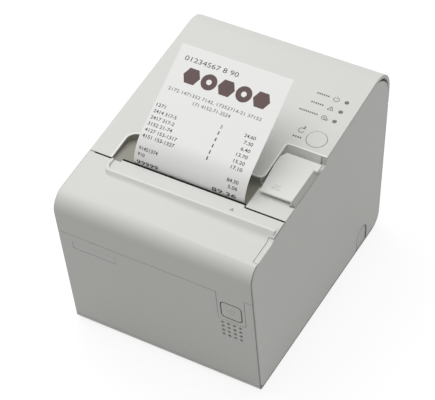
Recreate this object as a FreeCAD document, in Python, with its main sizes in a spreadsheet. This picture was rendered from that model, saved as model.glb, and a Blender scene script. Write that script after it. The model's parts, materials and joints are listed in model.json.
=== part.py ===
import FreeCAD
import Part
import Sketcher
import math
import os
import re

Vector = FreeCAD.Vector
doc = FreeCAD.newDocument("ReceiptPrinter")

# All lengths are millimetres and all angles degrees. +X is the printer's right seen from its front,
# +Y its rear and +Z up. The origin is the middle of the footprint, on the table.
SIZES = {
    # case
    "body_width": 140, "body_depth": 200, "foot_height": 1.5, "wall": 2.5, "seam": 0.3,
    "slope_height": 136.59, "top_slope": 7, "front_reach": 83.14, "front_lean": 8.5,
    "front_top_round": 12, "rear_top_round": 22, "rear_foot_round": 10, "front_foot_round": 3,
    "panel_thick": 3.4, "panel_inset": 1.3, "panel_play": 0.3,
    "front_foot_height": 6, "hood_split": 94, "bay_split": 89.6, "bay_cover_top": 26,
    "rear_panel_top": 93.2, "slot_front": -55.3, "exit_gap": 0.4,
    "board_height": 10, "board_thick": 1.6, "foot_radius": 6,
    # grille, name plate, power button
    "grille_x": 53.2, "grille_z": 57.6, "grille_pitch": 4.2, "grille_radius": 1.1,
    "plate_left": -60.6, "plate_right": -28.6, "plate_low": 81, "plate_high": 87.3, "plate_depth": 0.6,
    "power_x": 54.05, "power_z": 77.95, "power_width": 14, "power_height": 14.5, "power_round": 2.5,
    "power_rear": -86, "tab_width": 19.5, "tab_low": 67,
    # hood
    "lip_y": -67, "lip_rise": 1.8, "lip_left": -53.2, "tray_right": 68.6,
    "scoop_depth": 2.6, "scoop_front": -100,
    # lid
    "hinge_y": 93, "hinge_z": 100, "knuckle_radius": 7, "knuckle_half": 59.7, "hinge_pin_radius": 2,
    "running_play": 0.05, "recess_left": -53.8, "recess_right": 41.6, "recess_rear": -30,
    "recess_floor": 127.8, "beam_under": 126.5, "slot_rear": -50.9, "slot_left": -47.2,
    "notch_left": 41.9, "notch_rear": 2.5, "bay_slant": 4.6, "bay_foot": 128,
    # controls on the lid
    "feed_x": 57.2, "feed_y": 13.9, "feed_radius": 6.75, "lamp_radius": 1.45, "lamp_offset": 3.3,
    "lamp_first": 19, "lamp_pitch": 9.2, "control_depth": 8,
    # opening lever
    "lever_left": 42.6, "lever_right": 67.2, "lever_front": -41.3, "lever_rear": -3.5, "lever_thick": 1.5,
    "lever_bend": -10.5, "lever_tilt": 3, "lever_skirt": 4.2, "hub_left": 45.6, "hub_right": 63.5,
    "lever_pivot_y": -8, "lever_pivot_z": 128.4, "lever_pin_radius": 1.5,
    "shelf_slope": 3.5, "shelf_floor": 119, "shelf_thick": 2.2, "ledge_reach": 6,
    # paper path
    "paper_width": 79.5, "paper_thick": 0.2, "web_y": -51.5, "web_turn_z": 102, "web_turn_radius": 10,
    "roll_y": 28, "roll_z": 74.8, "roll_radius": 30, "core_radius": 9, "core_bore": 6.4,
    "well_z": 86, "well_radius": 41.5, "well_wall": 2, "well_pitch": 39.8, "well_half": 43.4,
    "receipt_foot": 124.6, "receipt_turn_z": 140.6, "receipt_turn_radius": 24, "receipt_pitch": 31,
    "receipt_reach": 76.3,
    # chassis and print head
    "sheet": 1.2, "chassis_half": 44.6, "chassis_top": 120.2, "chassis_rear": 57,
    "cross_y": -63.8, "cross_low": 103.4, "cross_high": 118,
    "head_half": 41, "head_face": -51.8, "head_low": 104, "sink_low": 101.5, "head_high": 119.8,
    "spring_x": 22, "spring_z": 110,
    # platen and gear train
    "platen_y": -44.2, "platen_z": 114, "platen_radius": 6.9, "platen_half": 40, "shaft_radius": 3,
    "gear_module": 0.8, "platen_teeth": 24, "idler_teeth": 30, "pinion_teeth": 12,
    "gear_left": -51, "gear_right": -46.2, "idler_y": -50.2, "idler_z": 93.1,
    "pinion_y": -63.7, "pinion_z": 82.85, "feed_motor_size": 30,
    # cutter
    "cutter_plate_thick": 2, "cutter_rear": -58.6, "blade_low": 122.5, "blade_thick": 0.8, "blade_half": 40,
    "crank_x": 10, "crank_y": -72.5, "crank_throw": 5, "crank_pin_radius": 1.5, "fixed_blade_low": 124.1,
}

sheet = doc.addObject("Spreadsheet::Sheet", "Dimensions")
for row, (name, number) in enumerate(SIZES.items(), 1):
    sheet.set("A%d" % row, name)
    sheet.set("B%d" % row, str(number))
    sheet.setAlias("B%d" % row, name)
doc.recompute()

NAMES = re.compile(r"\b(%s)\b" % "|".join(SIZES))
PLANES = {"XY": "XY_Plane", "XZ": "XZ_Plane", "YZ": "YZ_Plane"}
exported = []


def value(text):
    """Number that a formula in the sheet's names comes to."""
    return float(sheet.evalExpression(str(text)))


def bind(thing, prop, text):
    """Tie a property of a document object to a formula in the sheet's names."""
    thing.setExpression(prop, NAMES.sub(r"Dimensions.\1", str(text)))


def top(y, depth="0"):
    """Height of the sloping top at y, or of the surface that lies depth below it."""
    return "(slope_height+(%s)*tan(top_slope)-(%s)/cos(top_slope))" % (y, depth)


def front(z, depth="0"):
    """Y of the leaning front at height z, or of the surface that lies depth behind it."""
    return "(-front_reach-(%s)*tan(front_lean)+(%s)/cos(front_lean))" % (z, depth)


def nose(depth="0"):
    """Sharp corner in which the front and the top meet, both taken depth below the surface."""
    level = "(slope_height-(%s)/cos(top_slope))" % depth
    reach = "(-front_reach+(%s)/cos(front_lean)-%s*tan(front_lean))" % (depth, level)
    y = "(%s/(1+tan(top_slope)*tan(front_lean)))" % reach
    return y, top(y, depth)


def ledge(y, depth="0"):
    """Height at y of the ledge that runs under the lever's front, or of the surface depth below it."""
    start = "(slot_front+exit_gap)"
    return "(%s+((%s)-%s)*tan(shelf_slope)-(%s)/cos(shelf_slope))" % (top(start, "0.3"), y, start, depth)


def tilted(y, depth="0"):
    """Height at y of the tilted top of the lever, or of the surface depth below it."""
    return "(%s-(lever_bend-(%s))*tan(lever_tilt)-(%s)/cos(lever_tilt))" % (top("lever_bend"), y, depth)


def ring(x, y, radius):
    return ("ring", x, y, radius)


def shape(*corners):
    """Closed outline through (x, y) corners; a third number rounds that corner."""
    return ("shape", [tuple(c) + ("0",) if len(c) == 2 else tuple(c) for c in corners])


def rect(x_low, x_high, y_low, y_high, radius="0"):
    places = ((x_low, y_low), (x_high, y_low), (x_high, y_high), (x_low, y_high))
    return shape(*[place + (radius,) for place in places])


def case_outline(inset, front_foot, rear_foot, rear_top, front_top):
    """Side view of the case, every side moved in by inset, with its four corner radii."""
    low = "(foot_height+%s)" % inset
    rear = "(body_depth/2-%s)" % inset
    nose_y, nose_z = nose(inset)
    return shape((front(low, inset), low, front_foot), (rear, low, rear_foot),
                 (rear, top(rear, inset), rear_top), (nose_y, nose_z, front_top))


def draw_ring(sketch, x, y, radius):
    circle = Part.Circle(Vector(value(x), value(y), 0), Vector(0, 0, 1), value(radius))
    index = sketch.addGeometry(circle)
    for kind, text, place in (("DistanceX", x, (-1, 1, index, 3)), ("DistanceY", y, (-1, 1, index, 3)),
                              ("Radius", radius, (index,))):
        count = sketch.addConstraint(Sketcher.Constraint(kind, *place, value(text)))
        bind(sketch, "Constraints[%d]" % count, text)


def pin_corner(sketch, index, point, x, y):
    """Tie a point of the sketch to formulas for its two coordinates."""
    for kind, text in (("DistanceX", x), ("DistanceY", y)):
        count = sketch.addConstraint(Sketcher.Constraint(kind, -1, 1, index, point, value(text)))
        bind(sketch, "Constraints[%d]" % count, text)


def draw_shape(sketch, corners):
    """Outline of lines and corner arcs, every corner and radius tied to its formula."""
    places = [Vector(value(x), value(y), 0) for x, y, _ in corners]
    total = len(corners)
    area = sum(places[i - 1].x * places[i].y - places[i].x * places[i - 1].y for i in range(total))
    if area < 0:
        corners, places = corners[::-1], places[::-1]
    starts, ends, arcs = [], [], []
    for i, (place, corner) in enumerate(zip(places, corners)):
        radius = value(corner[2])
        back = (places[i - 1] - place).normalize()
        ahead = (places[(i + 1) % total] - place).normalize()
        if radius <= 0:
            starts.append(place)
            ends.append(place)
            arcs.append(None)
            continue
        half = back.getAngle(ahead) / 2
        reach = radius / math.tan(half)
        centre = place + (back + ahead).normalize() * (radius / math.sin(half))
        starts.append(place + ahead * reach)
        ends.append(place + back * reach)
        turn = back.cross(ahead).z < 0
        first, last = (ends[i], starts[i]) if turn else (starts[i], ends[i])
        begin = math.atan2(first.y - centre.y, first.x - centre.x)
        finish = math.atan2(last.y - centre.y, last.x - centre.x)
        finish += 2 * math.pi if finish < begin else 0
        circle = Part.Circle(centre, Vector(0, 0, 1), radius)
        arcs.append((Part.ArcOfCircle(circle, begin, finish), turn))
    lines = [sketch.addGeometry(Part.LineSegment(starts[i], ends[(i + 1) % total])) for i in range(total)]
    for i, (x, y, radius) in enumerate(corners):
        before, after = lines[i - 1], lines[i]
        if arcs[i] is None:
            sketch.addConstraint(Sketcher.Constraint("Coincident", before, 2, after, 1))
            pin_corner(sketch, after, 1, x, y)
            continue
        arc, turn = arcs[i]
        bend = sketch.addGeometry(arc)
        corner = sketch.addGeometry(Part.Point(places[i]), True)
        sketch.addConstraint(Sketcher.Constraint("Tangent", before, 2, bend, 1 if turn else 2))
        sketch.addConstraint(Sketcher.Constraint("Tangent", after, 1, bend, 2 if turn else 1))
        sketch.addConstraint(Sketcher.Constraint("PointOnObject", corner, 1, before))
        sketch.addConstraint(Sketcher.Constraint("PointOnObject", corner, 1, after))
        pin_corner(sketch, corner, 1, x, y)
        count = sketch.addConstraint(Sketcher.Constraint("Radius", bend, value(radius)))
        bind(sketch, "Constraints[%d]" % count, radius)


class Piece:
    """One piece of the printer: a body made of pads and pockets on the three main planes."""

    def __init__(self, label, group=False):
        self.body = doc.addObject("PartDesign::Body", label)
        self.body.Label = label
        if not group:
            exported.append(self.body)

    def on_slope(self, x, y):
        """Stand the whole piece on the sloping top, its own Z along the slope's normal."""
        turn = FreeCAD.Rotation(Vector(1, 0, 0), value("top_slope"))
        self.body.Placement = FreeCAD.Placement(Vector(), turn)
        bind(self.body, "Placement.Base.x", x)
        bind(self.body, "Placement.Base.y", y)
        bind(self.body, "Placement.Base.z", top(y))
        bind(self.body, "Placement.Rotation.Angle", "top_slope")
        return self

    def sketch(self, plane, at, loops, slope=None):
        sketch = self.body.newObject("Sketcher::SketchObject", "Outline")
        support = [f for f in self.body.Origin.OriginFeatures if f.Role == PLANES[plane]]
        sketch.AttachmentSupport = [(support[0], "")]
        sketch.MapMode = "FlatFace"
        if slope:
            turn = FreeCAD.Rotation(Vector(1, 0, 0), value("top_slope"))
            sketch.AttachmentOffset = FreeCAD.Placement(Vector(), turn)
            bind(sketch, "AttachmentOffset.Rotation.Angle", "top_slope")
            bind(sketch, "AttachmentOffset.Base.x", slope[0])
            bind(sketch, "AttachmentOffset.Base.y", "(%s)-(%s)*sin(top_slope)" % (slope[1], at))
            at = "%s+(%s)*cos(top_slope)" % (top(slope[1]), at)
        bind(sketch, "AttachmentOffset.Base.z", at)
        for kind, *data in loops:
            (draw_ring if kind == "ring" else draw_shape)(sketch, *data)
        return sketch

    def feature(self, kind, sketch, low, high):
        feature = self.body.newObject("PartDesign::" + kind, kind)
        feature.Profile = sketch
        bind(feature, "Length", "(%s)-(%s)" % (high, low))
        sketch.Visibility = False
        doc.recompute()
        return self

    def pad(self, plane, low, high, *loops, slope=None):
        """Add material inside the loops from low to high along the plane's axis."""
        at = "-(%s)" % high if plane == "XZ" else low
        return self.feature("Pad", self.sketch(plane, at, loops, slope), low, high)

    def pocket(self, plane, low, high, *loops, slope=None):
        """Take away what lies inside the loops from low to high along the plane's axis."""
        at = "-(%s)" % low if plane == "XZ" else high
        return self.feature("Pocket", self.sketch(plane, at, loops, slope), low, high)

    def both_sides(self, kind, low, high, *loops):
        """The same pad or pocket at x from low to high and mirrored on the left."""
        make = self.pad if kind == "pad" else self.pocket
        make("YZ", low, high, *loops)
        return make("YZ", "-(%s)" % high, "-(%s)" % low, *loops)

    def loft_cut(self, *sections):
        """Take away the body that runs straight through (x, outline) sections."""
        sketches = [self.sketch("YZ", at, [loop]) for at, loop in sections]
        feature = self.body.newObject("PartDesign::SubtractiveLoft", "Loft")
        feature.Profile = sketches[0]
        feature.Sections = sketches[1:]
        feature.Ruled = True
        doc.recompute()
        return self

    def fillet(self, radius, chosen):
        """Round the edges whose middle point passes the test."""
        base = self.body.Tip
        names = ["Edge%d" % i for i, edge in enumerate(base.Shape.Edges, 1) if chosen(edge)]
        feature = self.body.newObject("PartDesign::Fillet", "Fillet")
        feature.Base = (base, names)
        bind(feature, "Radius", radius)
        doc.recompute()
        return self

    def chamfer(self, first, second, chosen):
        """Bevel the edges that pass the test, with its own width on each of the two faces."""
        base = self.body.Tip
        names = ["Edge%d" % i for i, edge in enumerate(base.Shape.Edges, 1) if chosen(edge)]
        feature = self.body.newObject("PartDesign::Chamfer", "Chamfer")
        feature.Base = (base, names)
        feature.ChamferType = "Two distances"
        bind(feature, "Size", first)
        bind(feature, "Size2", second)
        doc.recompute()
        return self


def group(label, *pieces):
    """Several alike pieces as one node."""
    joined = doc.addObject("Part::Compound", label)
    joined.Label = label
    joined.Links = [piece.body for piece in pieces]
    exported.append(joined)
    doc.recompute()


def solid(label, built):
    """A form that neither sketches nor primitives can describe."""
    node = doc.addObject("Part::Feature", label)
    node.Label = label
    node.Shape = built
    exported.append(node)


def hollow(depth, fade, radius):
    """Section of the hollow before the lip: floor rising to the front, wall leaning back to the lip."""
    foot_y = "lip_y-lip_rise-(%s)" % depth
    return shape((foot_y, top(foot_y, depth), radius), ("scoop_front", top("scoop_front", fade)),
                 ("scoop_front", 140), ("lip_y+8", 140), ("lip_y+8", top("lip_y+8", "-lip_rise-8")))


HALF = "body_width/2"
PANEL_IN = "(body_width/2-panel_thick)"
PANEL = case_outline("panel_inset", "6", "9", "27", "11")
PANEL_SEAT = case_outline("(panel_inset-panel_play)", "6.3", "9.3", "27.3", "11.3")
SCOOP = (("lip_left-2", hollow("0", "-0.4", 3)), (HALF + "+1", hollow("scoop_depth", "0.5", 8)))


def seat_panels(piece, play):
    """Make room at both ends of a band piece for the side panels."""
    return piece.both_sides("pocket", "%s-%s" % (PANEL_IN, play), HALF + "+1", PANEL_SEAT)


def build_case():
    """Bottom, front, rear and side walls with the small pieces fixed to them."""
    low, floor = "foot_height", "(foot_height+wall)"
    lip = "front_foot_height"
    bottom = Piece("bottom_case").pad("YZ", "-" + HALF, HALF, shape(
        (front(low), low, "front_foot_round"), ("bay_split", low), ("bay_split", floor),
        (front(floor, "wall"), floor), (front(lip, "wall"), lip), (front(lip), lip)))
    seat_panels(bottom, "0")
    bottom.pad("XY", floor + "-0.5", "board_height", *[ring(x, y, 3) for x in (-36, 36) for y in (-60, 40)])
    screws = [(x, y) for x in (-55, 55) for y in (-60, 45)]
    bottom.pad("XY", floor + "-0.5", 14, *[ring(x, y, 4) for x, y in screws])
    bottom.pocket("XY", 0, "foot_height+1.5", *[ring(x, y, 3) for x, y in screws])
    bottom.pocket("XY", 0, 12, *[ring(x, y, 1.5) for x, y in screws])
    heads = []
    for x, y in screws:
        screw = Piece("case_screw", group=True)
        screw.pad("XY", "foot_height+0.2", "foot_height+1.5", ring(x, y, 2.8))
        heads.append(screw.pad("XY", "foot_height+1", 11, ring(x, y, 1.5)))
    group("case_screws", *heads)
    group("rubber_feet", *[Piece("foot", group=True).pad("XY", 0, "foot_height", ring(x, y, "foot_radius"))
                           for x in (-58, 58) for y in (-72, 79)])

    rear, inner = "body_depth/2", "(body_depth/2-wall)"
    bay = Piece("connector_cover").pad("YZ", "-" + HALF, HALF, shape(
        ("bay_split+seam", low), (rear, low, "rear_foot_round"), (rear, "bay_cover_top"),
        (inner, "bay_cover_top"), (inner, floor, "rear_foot_round-wall"), ("bay_split+seam", floor)))
    seat_panels(bay, "0")
    bay.pocket("XZ", inner + "-1", rear + "+1", rect(-30, 30, 7.5, 18, 3))

    back = Piece("rear_panel").pad("YZ", "-" + HALF, HALF, rect(
        inner, rear, "bay_cover_top+seam", "rear_panel_top"))
    back.both_sides("pad", "knuckle_half+0.3", HALF, shape(
        (inner, "rear_panel_top-1"), (rear, "rear_panel_top-1"),
        (rear, "hinge_z+9.9"), (inner, "hinge_z+11.3")))
    seat_panels(back, "0")

    start, end = "front_foot_height+seam", "hood_split-seam/2"
    face = Piece("front_panel").pad("YZ", "-" + HALF, HALF, shape(
        (front(start), start), (front(start, "wall"), start), (front(end, "wall"), end), (front(end), end)))
    seat_panels(face, "0")
    tab_left, tab_right = "power_x-tab_width/2-seam", "power_x+tab_width/2+seam"
    face.pocket("XZ", -120, -70, shape(
        (tab_left, "tab_low-seam", 3.3), (tab_right, "tab_low-seam", 3.3), (tab_right, 110), (tab_left, 110)))
    steps = ("-1.5", "-0.5", "+0.5", "+1.5")
    columns = ["grille_x%s*grille_pitch" % step for step in steps]
    rows = ["grille_z%s*grille_pitch" % step for step in steps]
    face.pocket("XZ", -120, -70, *[ring(x, z, "grille_radius") for x in columns for z in rows])
    face.pocket("YZ", "plate_left", "plate_right", shape(
        (front("plate_low") + "-2", "plate_low"), (front("plate_low", "plate_depth"), "plate_low"),
        (front("plate_high", "plate_depth"), "plate_high"), (front("plate_high") + "-2", "plate_high")))
    low_edge, high_edge = "plate_low+0.2", "plate_high-0.2"
    Piece("name_plate").pad("YZ", "plate_left+0.2", "plate_right-0.2", shape(
        (front(low_edge, "0.15"), low_edge), (front(low_edge, "plate_depth"), low_edge),
        (front(high_edge, "plate_depth"), high_edge), (front(high_edge, "0.15"), high_edge)))

    Piece("side_panel_left").pad("YZ", "-" + HALF, "-" + PANEL_IN, PANEL)
    right = Piece("side_panel_right").pad("YZ", PANEL_IN, HALF, PANEL).loft_cut(*SCOOP)
    right.pocket("YZ", PANEL_IN + "-1", HALF + "+1", shape(
        (62.1, 0), (79, 0), (79, 19.7, 8.2), (62.1, 19.7, 8.2)))
    under_skirt = "lever_skirt+0.35"
    notch_front, notch_end = "slot_front-0.1", "notch_rear-0.3"
    right.pocket("YZ", PANEL_IN + "-1", HALF + "+1", shape(
        (notch_front, ledge(notch_front, "1.3")), ("lever_front-1.2", ledge("lever_front-1.2", "1.3")),
        ("lever_front-0.2", tilted("lever_front-0.2", under_skirt)),
        ("lever_bend", tilted("lever_bend", under_skirt)), (notch_end, tilted("lever_bend", under_skirt)),
        (notch_end, 160), (notch_front, 160)))
    knockout_low = "foot_height+panel_inset-panel_play"
    Piece("cable_knockout").pad("YZ", PANEL_IN, HALF + "-0.5", shape(
        (63, knockout_low), (78.1, knockout_low), (78.1, 18.8, 7.3), (63, 18.8, 7.3)))


def build_hood():
    """Cutter hood: front edge, raised tray lip, the hollow before it, power button's tab, exit strip."""
    foot = "hood_split+seam/2"
    nose_out, nose_in = nose(), nose("wall")
    rear = "slot_front-exit_gap"
    hood = Piece("hood").pad("YZ", "-" + HALF, HALF, shape(
        (front(foot), foot), nose_out + ("front_top_round",), (rear, top(rear)), (rear, top(rear, "wall")),
        nose_in + ("front_top_round-wall",), (front(foot, "wall"), foot)))
    hood.pad("YZ", "slot_left+seam", "recess_right-seam", shape(
        (rear + "-3", top(rear + "-3", "wall")), ("web_y-2", top("web_y-2", "wall")),
        ("web_y-2", top("web_y-2", "0.6")), (rear + "-3", top(rear + "-3", "0.6"))))
    tab = ("power_x-tab_width/2", "power_x+tab_width/2")
    tab_high = "hood_split+2"
    hood.pad("YZ", *tab, shape(
        (front("tab_low"), "tab_low"), (front("tab_low", "wall"), "tab_low"),
        (front(tab_high, "wall"), tab_high), (front(tab_high), tab_high)))
    corners = [value(x) for x in tab]
    hood.fillet(3, lambda e: abs(e.CenterOfMass.z - value("tab_low")) < 1.5 and e.Length < 4
                and min(abs(e.CenterOfMass.x - x) for x in corners) < 0.1)
    hood.pocket("XZ", -120, -70, rect(
        "power_x-power_width/2-0.4", "power_x+power_width/2+0.4", "power_z-power_height/2-0.4",
        "power_z+power_height/2+0.4", "power_round+0.3"))
    crest = "lip_y-2"
    hood.pad("XY", 110, 140, shape(
        ("lip_left", rear), ("lip_left", crest, 7), ("tray_right", crest), ("tray_right", rear)))
    hood.pocket("YZ", "lip_left-1", HALF + "+1", shape(
        ("lip_y-9", top("lip_y-9", "-lip_rise")), ("lip_y+1.2", top("lip_y+1.2", "-lip_rise")),
        (rear + "+1", top(rear + "+1", "-0.5")), (rear + "+1", 160), ("lip_y-9", 160)))
    hood.pocket("YZ", "-" + HALF + "-1", HALF + "+1", shape(
        (rear + "+1", 100), (rear + "+1", top(rear + "+1", "wall")), nose_in + ("front_top_round-wall",),
        (front(100, "wall"), 100)))
    hood.loft_cut(*SCOOP)
    hood.pocket("YZ", "lip_left+1.6", HALF + "+1", shape(
        ("lip_y+1.4", top("lip_y+1.4", "-0.4")), (rear + "+4", top(rear + "+4", "0.7")), (rear + "+4", 160),
        ("lip_y+1.4", 160)))
    inner_corner = Vector(value("lip_left") + 1.6, value("lip_y") + 1.4, 0)
    hood.fillet(5, lambda e: e.Length < 4 and abs(e.CenterOfMass.x - inner_corner.x) < 0.2
                and abs(e.CenterOfMass.y - inner_corner.y) < 0.2)
    seat_panels(hood, "panel_play")
    strip_front, strip_rear = "web_y-2", "web_y-0.6"
    Piece("exit_strip").pad("YZ", "slot_left+seam", "recess_right-seam", shape(
        (strip_front, top(strip_front, "wall")), (strip_rear, top(strip_rear, "wall")),
        (strip_rear, top(strip_rear, "0.9")), (strip_front, top(strip_front, "0.9"))))


def build_lid():
    """Lid over the paper roll: sloping top rolled over the rear, hinge knuckle, paper exit, controls."""
    front_edge, rear, inner = "slot_front+exit_gap", "body_depth/2", "(body_depth/2-wall)"
    lid = Piece("roll_cover").pad("YZ", "-" + HALF, HALF, shape(
        (front_edge, top(front_edge)), (rear, top(rear), "rear_top_round"), (rear, "hinge_z"),
        (inner, "hinge_z"), (inner, top(inner, "wall"), "rear_top_round-wall"),
        (front_edge, top(front_edge, "wall"))))
    lid.pad("YZ", "-knuckle_half", "knuckle_half", ring("hinge_y", "hinge_z", "knuckle_radius"))
    lid.pad("YZ", "recess_left-3.5", "notch_left", shape(
        (front_edge, "beam_under"), ("recess_rear+4", "beam_under"),
        ("recess_rear+4", top("recess_rear+4", "1")), (front_edge, top(front_edge, "1"))))
    lid.pocket("XY", "recess_floor", 160, shape(
        ("recess_left", "slot_front-4"), ("recess_left", "recess_rear", 7), ("notch_left+1", "recess_rear"),
        ("notch_left+1", "slot_front-4")))
    lid.pocket("YZ", "slot_left", "notch_left+1", rect("slot_front-1", "slot_rear", 110, 160))
    lid.pocket("XY", 105, 160, shape(
        ("notch_left", "slot_front-2"), (HALF + "+1", "slot_front-2"), (HALF + "+1", "notch_rear"),
        ("notch_left", "notch_rear", 2)))
    lid.pocket("XY", "recess_floor", 160, shape(
        ("notch_left-6", "recess_rear"), ("notch_left", "recess_rear", 4), ("notch_left", "recess_rear+6"),
        ("notch_left+0.5", "recess_rear+6"), ("notch_left+0.5", "recess_rear-0.5"),
        ("notch_left-6", "recess_rear-0.5")))
    lid.pad("YZ", "notch_left-1.7", "notch_left", shape(
        ("recess_rear+4", "beam_under"), ("notch_rear+1.5", "beam_under"),
        ("notch_rear+1.5", top("notch_rear+1.5", "1")), ("recess_rear+4", top("recess_rear+4", "1"))))
    lid.pad("YZ", "notch_left-1.7", PANEL_IN + "-panel_play", shape(
        ("notch_rear-bay_slant", "bay_foot"), ("notch_rear", "shelf_floor+4.5"),
        ("notch_rear+1.5", "shelf_floor+4.5"), ("notch_rear+1.5", top("notch_rear+1.5", "1")),
        ("notch_rear", top("notch_rear", "0.4"))))
    seat_panels(lid, "panel_play")
    lid.both_sides("pocket", "knuckle_half", HALF + "+1", shape(
        (inner + "-10", "hinge_z-1"), (rear + "+1", "hinge_z-1"), (rear + "+1", "hinge_z+10.4"),
        (inner, "hinge_z+12.2"), (inner + "-10", "hinge_z+12.2")))
    lid.both_sides("pocket", "knuckle_half-12", "knuckle_half+1",
                   ring("hinge_y", "hinge_z", "hinge_pin_radius+running_play"))
    lid.pad("YZ", 46, 51, shape(("notch_rear+1.5", 113), ("notch_rear+5", 113),
                                ("notch_rear+5", top("notch_rear+5", "1.2")),
                                ("notch_rear+1.5", top("notch_rear+1.5", "1.2"))))
    place = ("feed_x", "feed_y")
    lid.pad("XY", "-control_depth", "-wall+0.5", ring(-6, 30, 2.2), ring(-6, 42, 2.2), slope=place)
    lid.pocket("XY", "-wall-2", "2", ring(0, 0, "feed_radius+0.3"),
               *[ring("lamp_offset", "lamp_first+%d*lamp_pitch" % i, "lamp_radius+0.05") for i in range(3)],
               slope=place)

    Piece("feed_button").on_slope(*place).pad("XY", -3, 0.1, ring(0, 0, "feed_radius")).pad(
        "XY", -4.2, -3, ring(0, 0, "feed_radius+1.05"))
    board = Piece("button_board").on_slope(*place)
    board.pad("XY", "-control_depth-board_thick", "-control_depth", rect(-9, 8, -5, 47, 1))
    board.pad("XY", "-control_depth-0.2", -5.2, ring(0, 0, 2.5))
    for i, name in enumerate(("paper_led", "error_led", "power_led")):
        Piece(name).on_slope(*place).pad("XY", "-control_depth", 0.05, ring(
            "lamp_offset", "lamp_first+%d*lamp_pitch" % i, "lamp_radius"))


def build_hinge():
    """Brackets on the rear wall and the pins on which the lid swings."""
    plates, pins = [], []
    for side in ("", "-"):
        plate = Piece("hinge_bracket", group=True)
        spans = [("knuckle_half+0.3", "knuckle_half+3.8"), ("knuckle_half-11.5", "knuckle_half+3.8")]
        if side:
            spans = [("-(%s)" % high, "-(%s)" % low) for low, high in spans]
        edge = "body_depth/2-wall"
        bore = ring("hinge_y", "hinge_z", "hinge_pin_radius")
        plate.pad("YZ", *spans[0], shape(
            ("hinge_y-9", "hinge_z-15"), (edge, "hinge_z-15"), (edge, "hinge_z+7"),
            ("hinge_y-3", "hinge_z+7", 3), ("hinge_y-9", "hinge_z+2", 3)), bore)
        plates.append(plate)
        pins.append(Piece("hinge_pin", group=True).pad("YZ", *spans[1], bore))
    group("hinge_brackets", *plates)
    group("hinge_pins", *pins)


def build_lever():
    """Opening lever with its shelf, pin and return spring."""
    pivot = ("lever_pivot_y", "lever_pivot_z")
    start = "slot_front+exit_gap"
    wall_rear, wall_front = "lever_front+ledge_reach", "lever_front+ledge_reach-shelf_thick"
    shelf = Piece("lever_shelf").pad("YZ", "notch_left+0.4", PANEL_IN + "-0.3", shape(
        (start, ledge(start)), (wall_rear, ledge(wall_rear), 0.8), (wall_rear, "shelf_floor", 2),
        ("notch_rear-1", "shelf_floor"), ("notch_rear-1", "shelf_floor-shelf_thick"),
        (wall_front, "shelf_floor-shelf_thick", 3), (wall_front, ledge(wall_front, "shelf_thick"), 2),
        (start, ledge(start, "shelf_thick"))))
    shelf.pad("YZ", PANEL_IN + "-1", HALF, shape(
        (start, ledge(start)), ("lever_front-1.5", ledge("lever_front-1.5")),
        ("lever_front-1.5", ledge("lever_front-1.5", "1")), (start, ledge(start, "1"))))
    for low, high in (("notch_left+0.6", "hub_left-0.4"), ("hub_right+0.4", PANEL_IN + "-1")):
        shelf.pad("YZ", low, high, shape(
            ("lever_pivot_y-5", "shelf_floor-1"), ("lever_pivot_y+5", "shelf_floor-1"),
            ("lever_pivot_y+4", "lever_pivot_z+2.8", 3.4), ("lever_pivot_y-4", "lever_pivot_z+2.8", 3.4)),
            ring(*pivot, "lever_pin_radius"))
    shelf.pocket("XY", "shelf_floor-shelf_thick-1", "shelf_floor+1", rect(
        45.2, 51, "lever_pivot_y-12", "notch_rear"))

    outer = HALF + "-0.2"
    lever = Piece("open_lever").pad("YZ", "lever_right-0.9", outer, shape(
        ("lever_front", tilted("lever_front", "lever_skirt")),
        ("lever_bend", tilted("lever_bend", "lever_skirt")), ("lever_bend", tilted("lever_bend")),
        ("lever_front", tilted("lever_front"))))
    middle_z = value(tilted("(lever_front+lever_bend)/2"))
    lever.chamfer(outer + "-lever_right", "lever_skirt-0.5",
                  lambda e: abs(e.CenterOfMass.x - value(outer)) < 0.1
                  and abs(e.CenterOfMass.z - middle_z) < 0.1)
    lever.pad("YZ", "lever_left", "lever_right-0.2", shape(
        ("lever_front", tilted("lever_front", "lever_thick"), 0.6),
        ("lever_bend", tilted("lever_bend", "lever_thick")), ("lever_bend", tilted("lever_bend")),
        ("lever_front", tilted("lever_front"), 0.6)))
    lever.pad("YZ", "lever_left", outer, shape(
        ("lever_bend", top("lever_bend", "lever_thick")), ("lever_rear", top("lever_rear", "lever_thick")),
        ("lever_rear", top("lever_rear"), 1), ("lever_bend", top("lever_bend"))))
    lever.pocket("XY", "lever_pivot_z", 150, shape(
        ("lever_left-0.6", "lever_rear-6"), ("lever_left-0.6", "lever_rear+1"),
        ("lever_left+3.6", "lever_rear+1")))
    lever.pocket("XY", "lever_pivot_z", 150, shape(
        ("lever_left-0.6", "lever_bend"), ("lever_left-0.6", "lever_front-1"),
        ("lever_left+2.6", "lever_front-1")))
    for low, high in (("hub_left", "hub_left+5"), ("hub_right-4.3", "hub_right")):
        lever.pad("YZ", low, high, ring(*pivot, 4))
        lever.pad("YZ", low, high, shape(
            ("lever_pivot_y-2.5", "lever_pivot_z"), ("lever_pivot_y+3", "lever_pivot_z"),
            ("lever_pivot_y+3", top("lever_pivot_y+3", "1")),
            ("lever_pivot_y-2.5", top("lever_pivot_y-2.5", "1"))))
    lever.pad("YZ", "hub_left+0.2", "hub_left+5", shape(
        ("lever_pivot_y-1.5", 113.5), ("lever_pivot_y+6", 113.5), ("lever_pivot_y+6", 115.5),
        ("lever_pivot_y+2", 117.5), ("lever_pivot_y+2", "lever_pivot_z-2.5"),
        ("lever_pivot_y-1.5", "lever_pivot_z-2.5")))
    lever.pocket("YZ", "hub_left-1", "hub_right+1", ring(*pivot, "lever_pin_radius+running_play"))
    Piece("lever_pin").pad("YZ", "notch_left+0.8", PANEL_IN + "-1.1", ring(*pivot, "lever_pin_radius"))
    Piece("lever_spring").pad("YZ", "hub_left+5.6", "hub_right-4.9", ring(*pivot, 3.2), ring(*pivot, 2.1))


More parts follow.
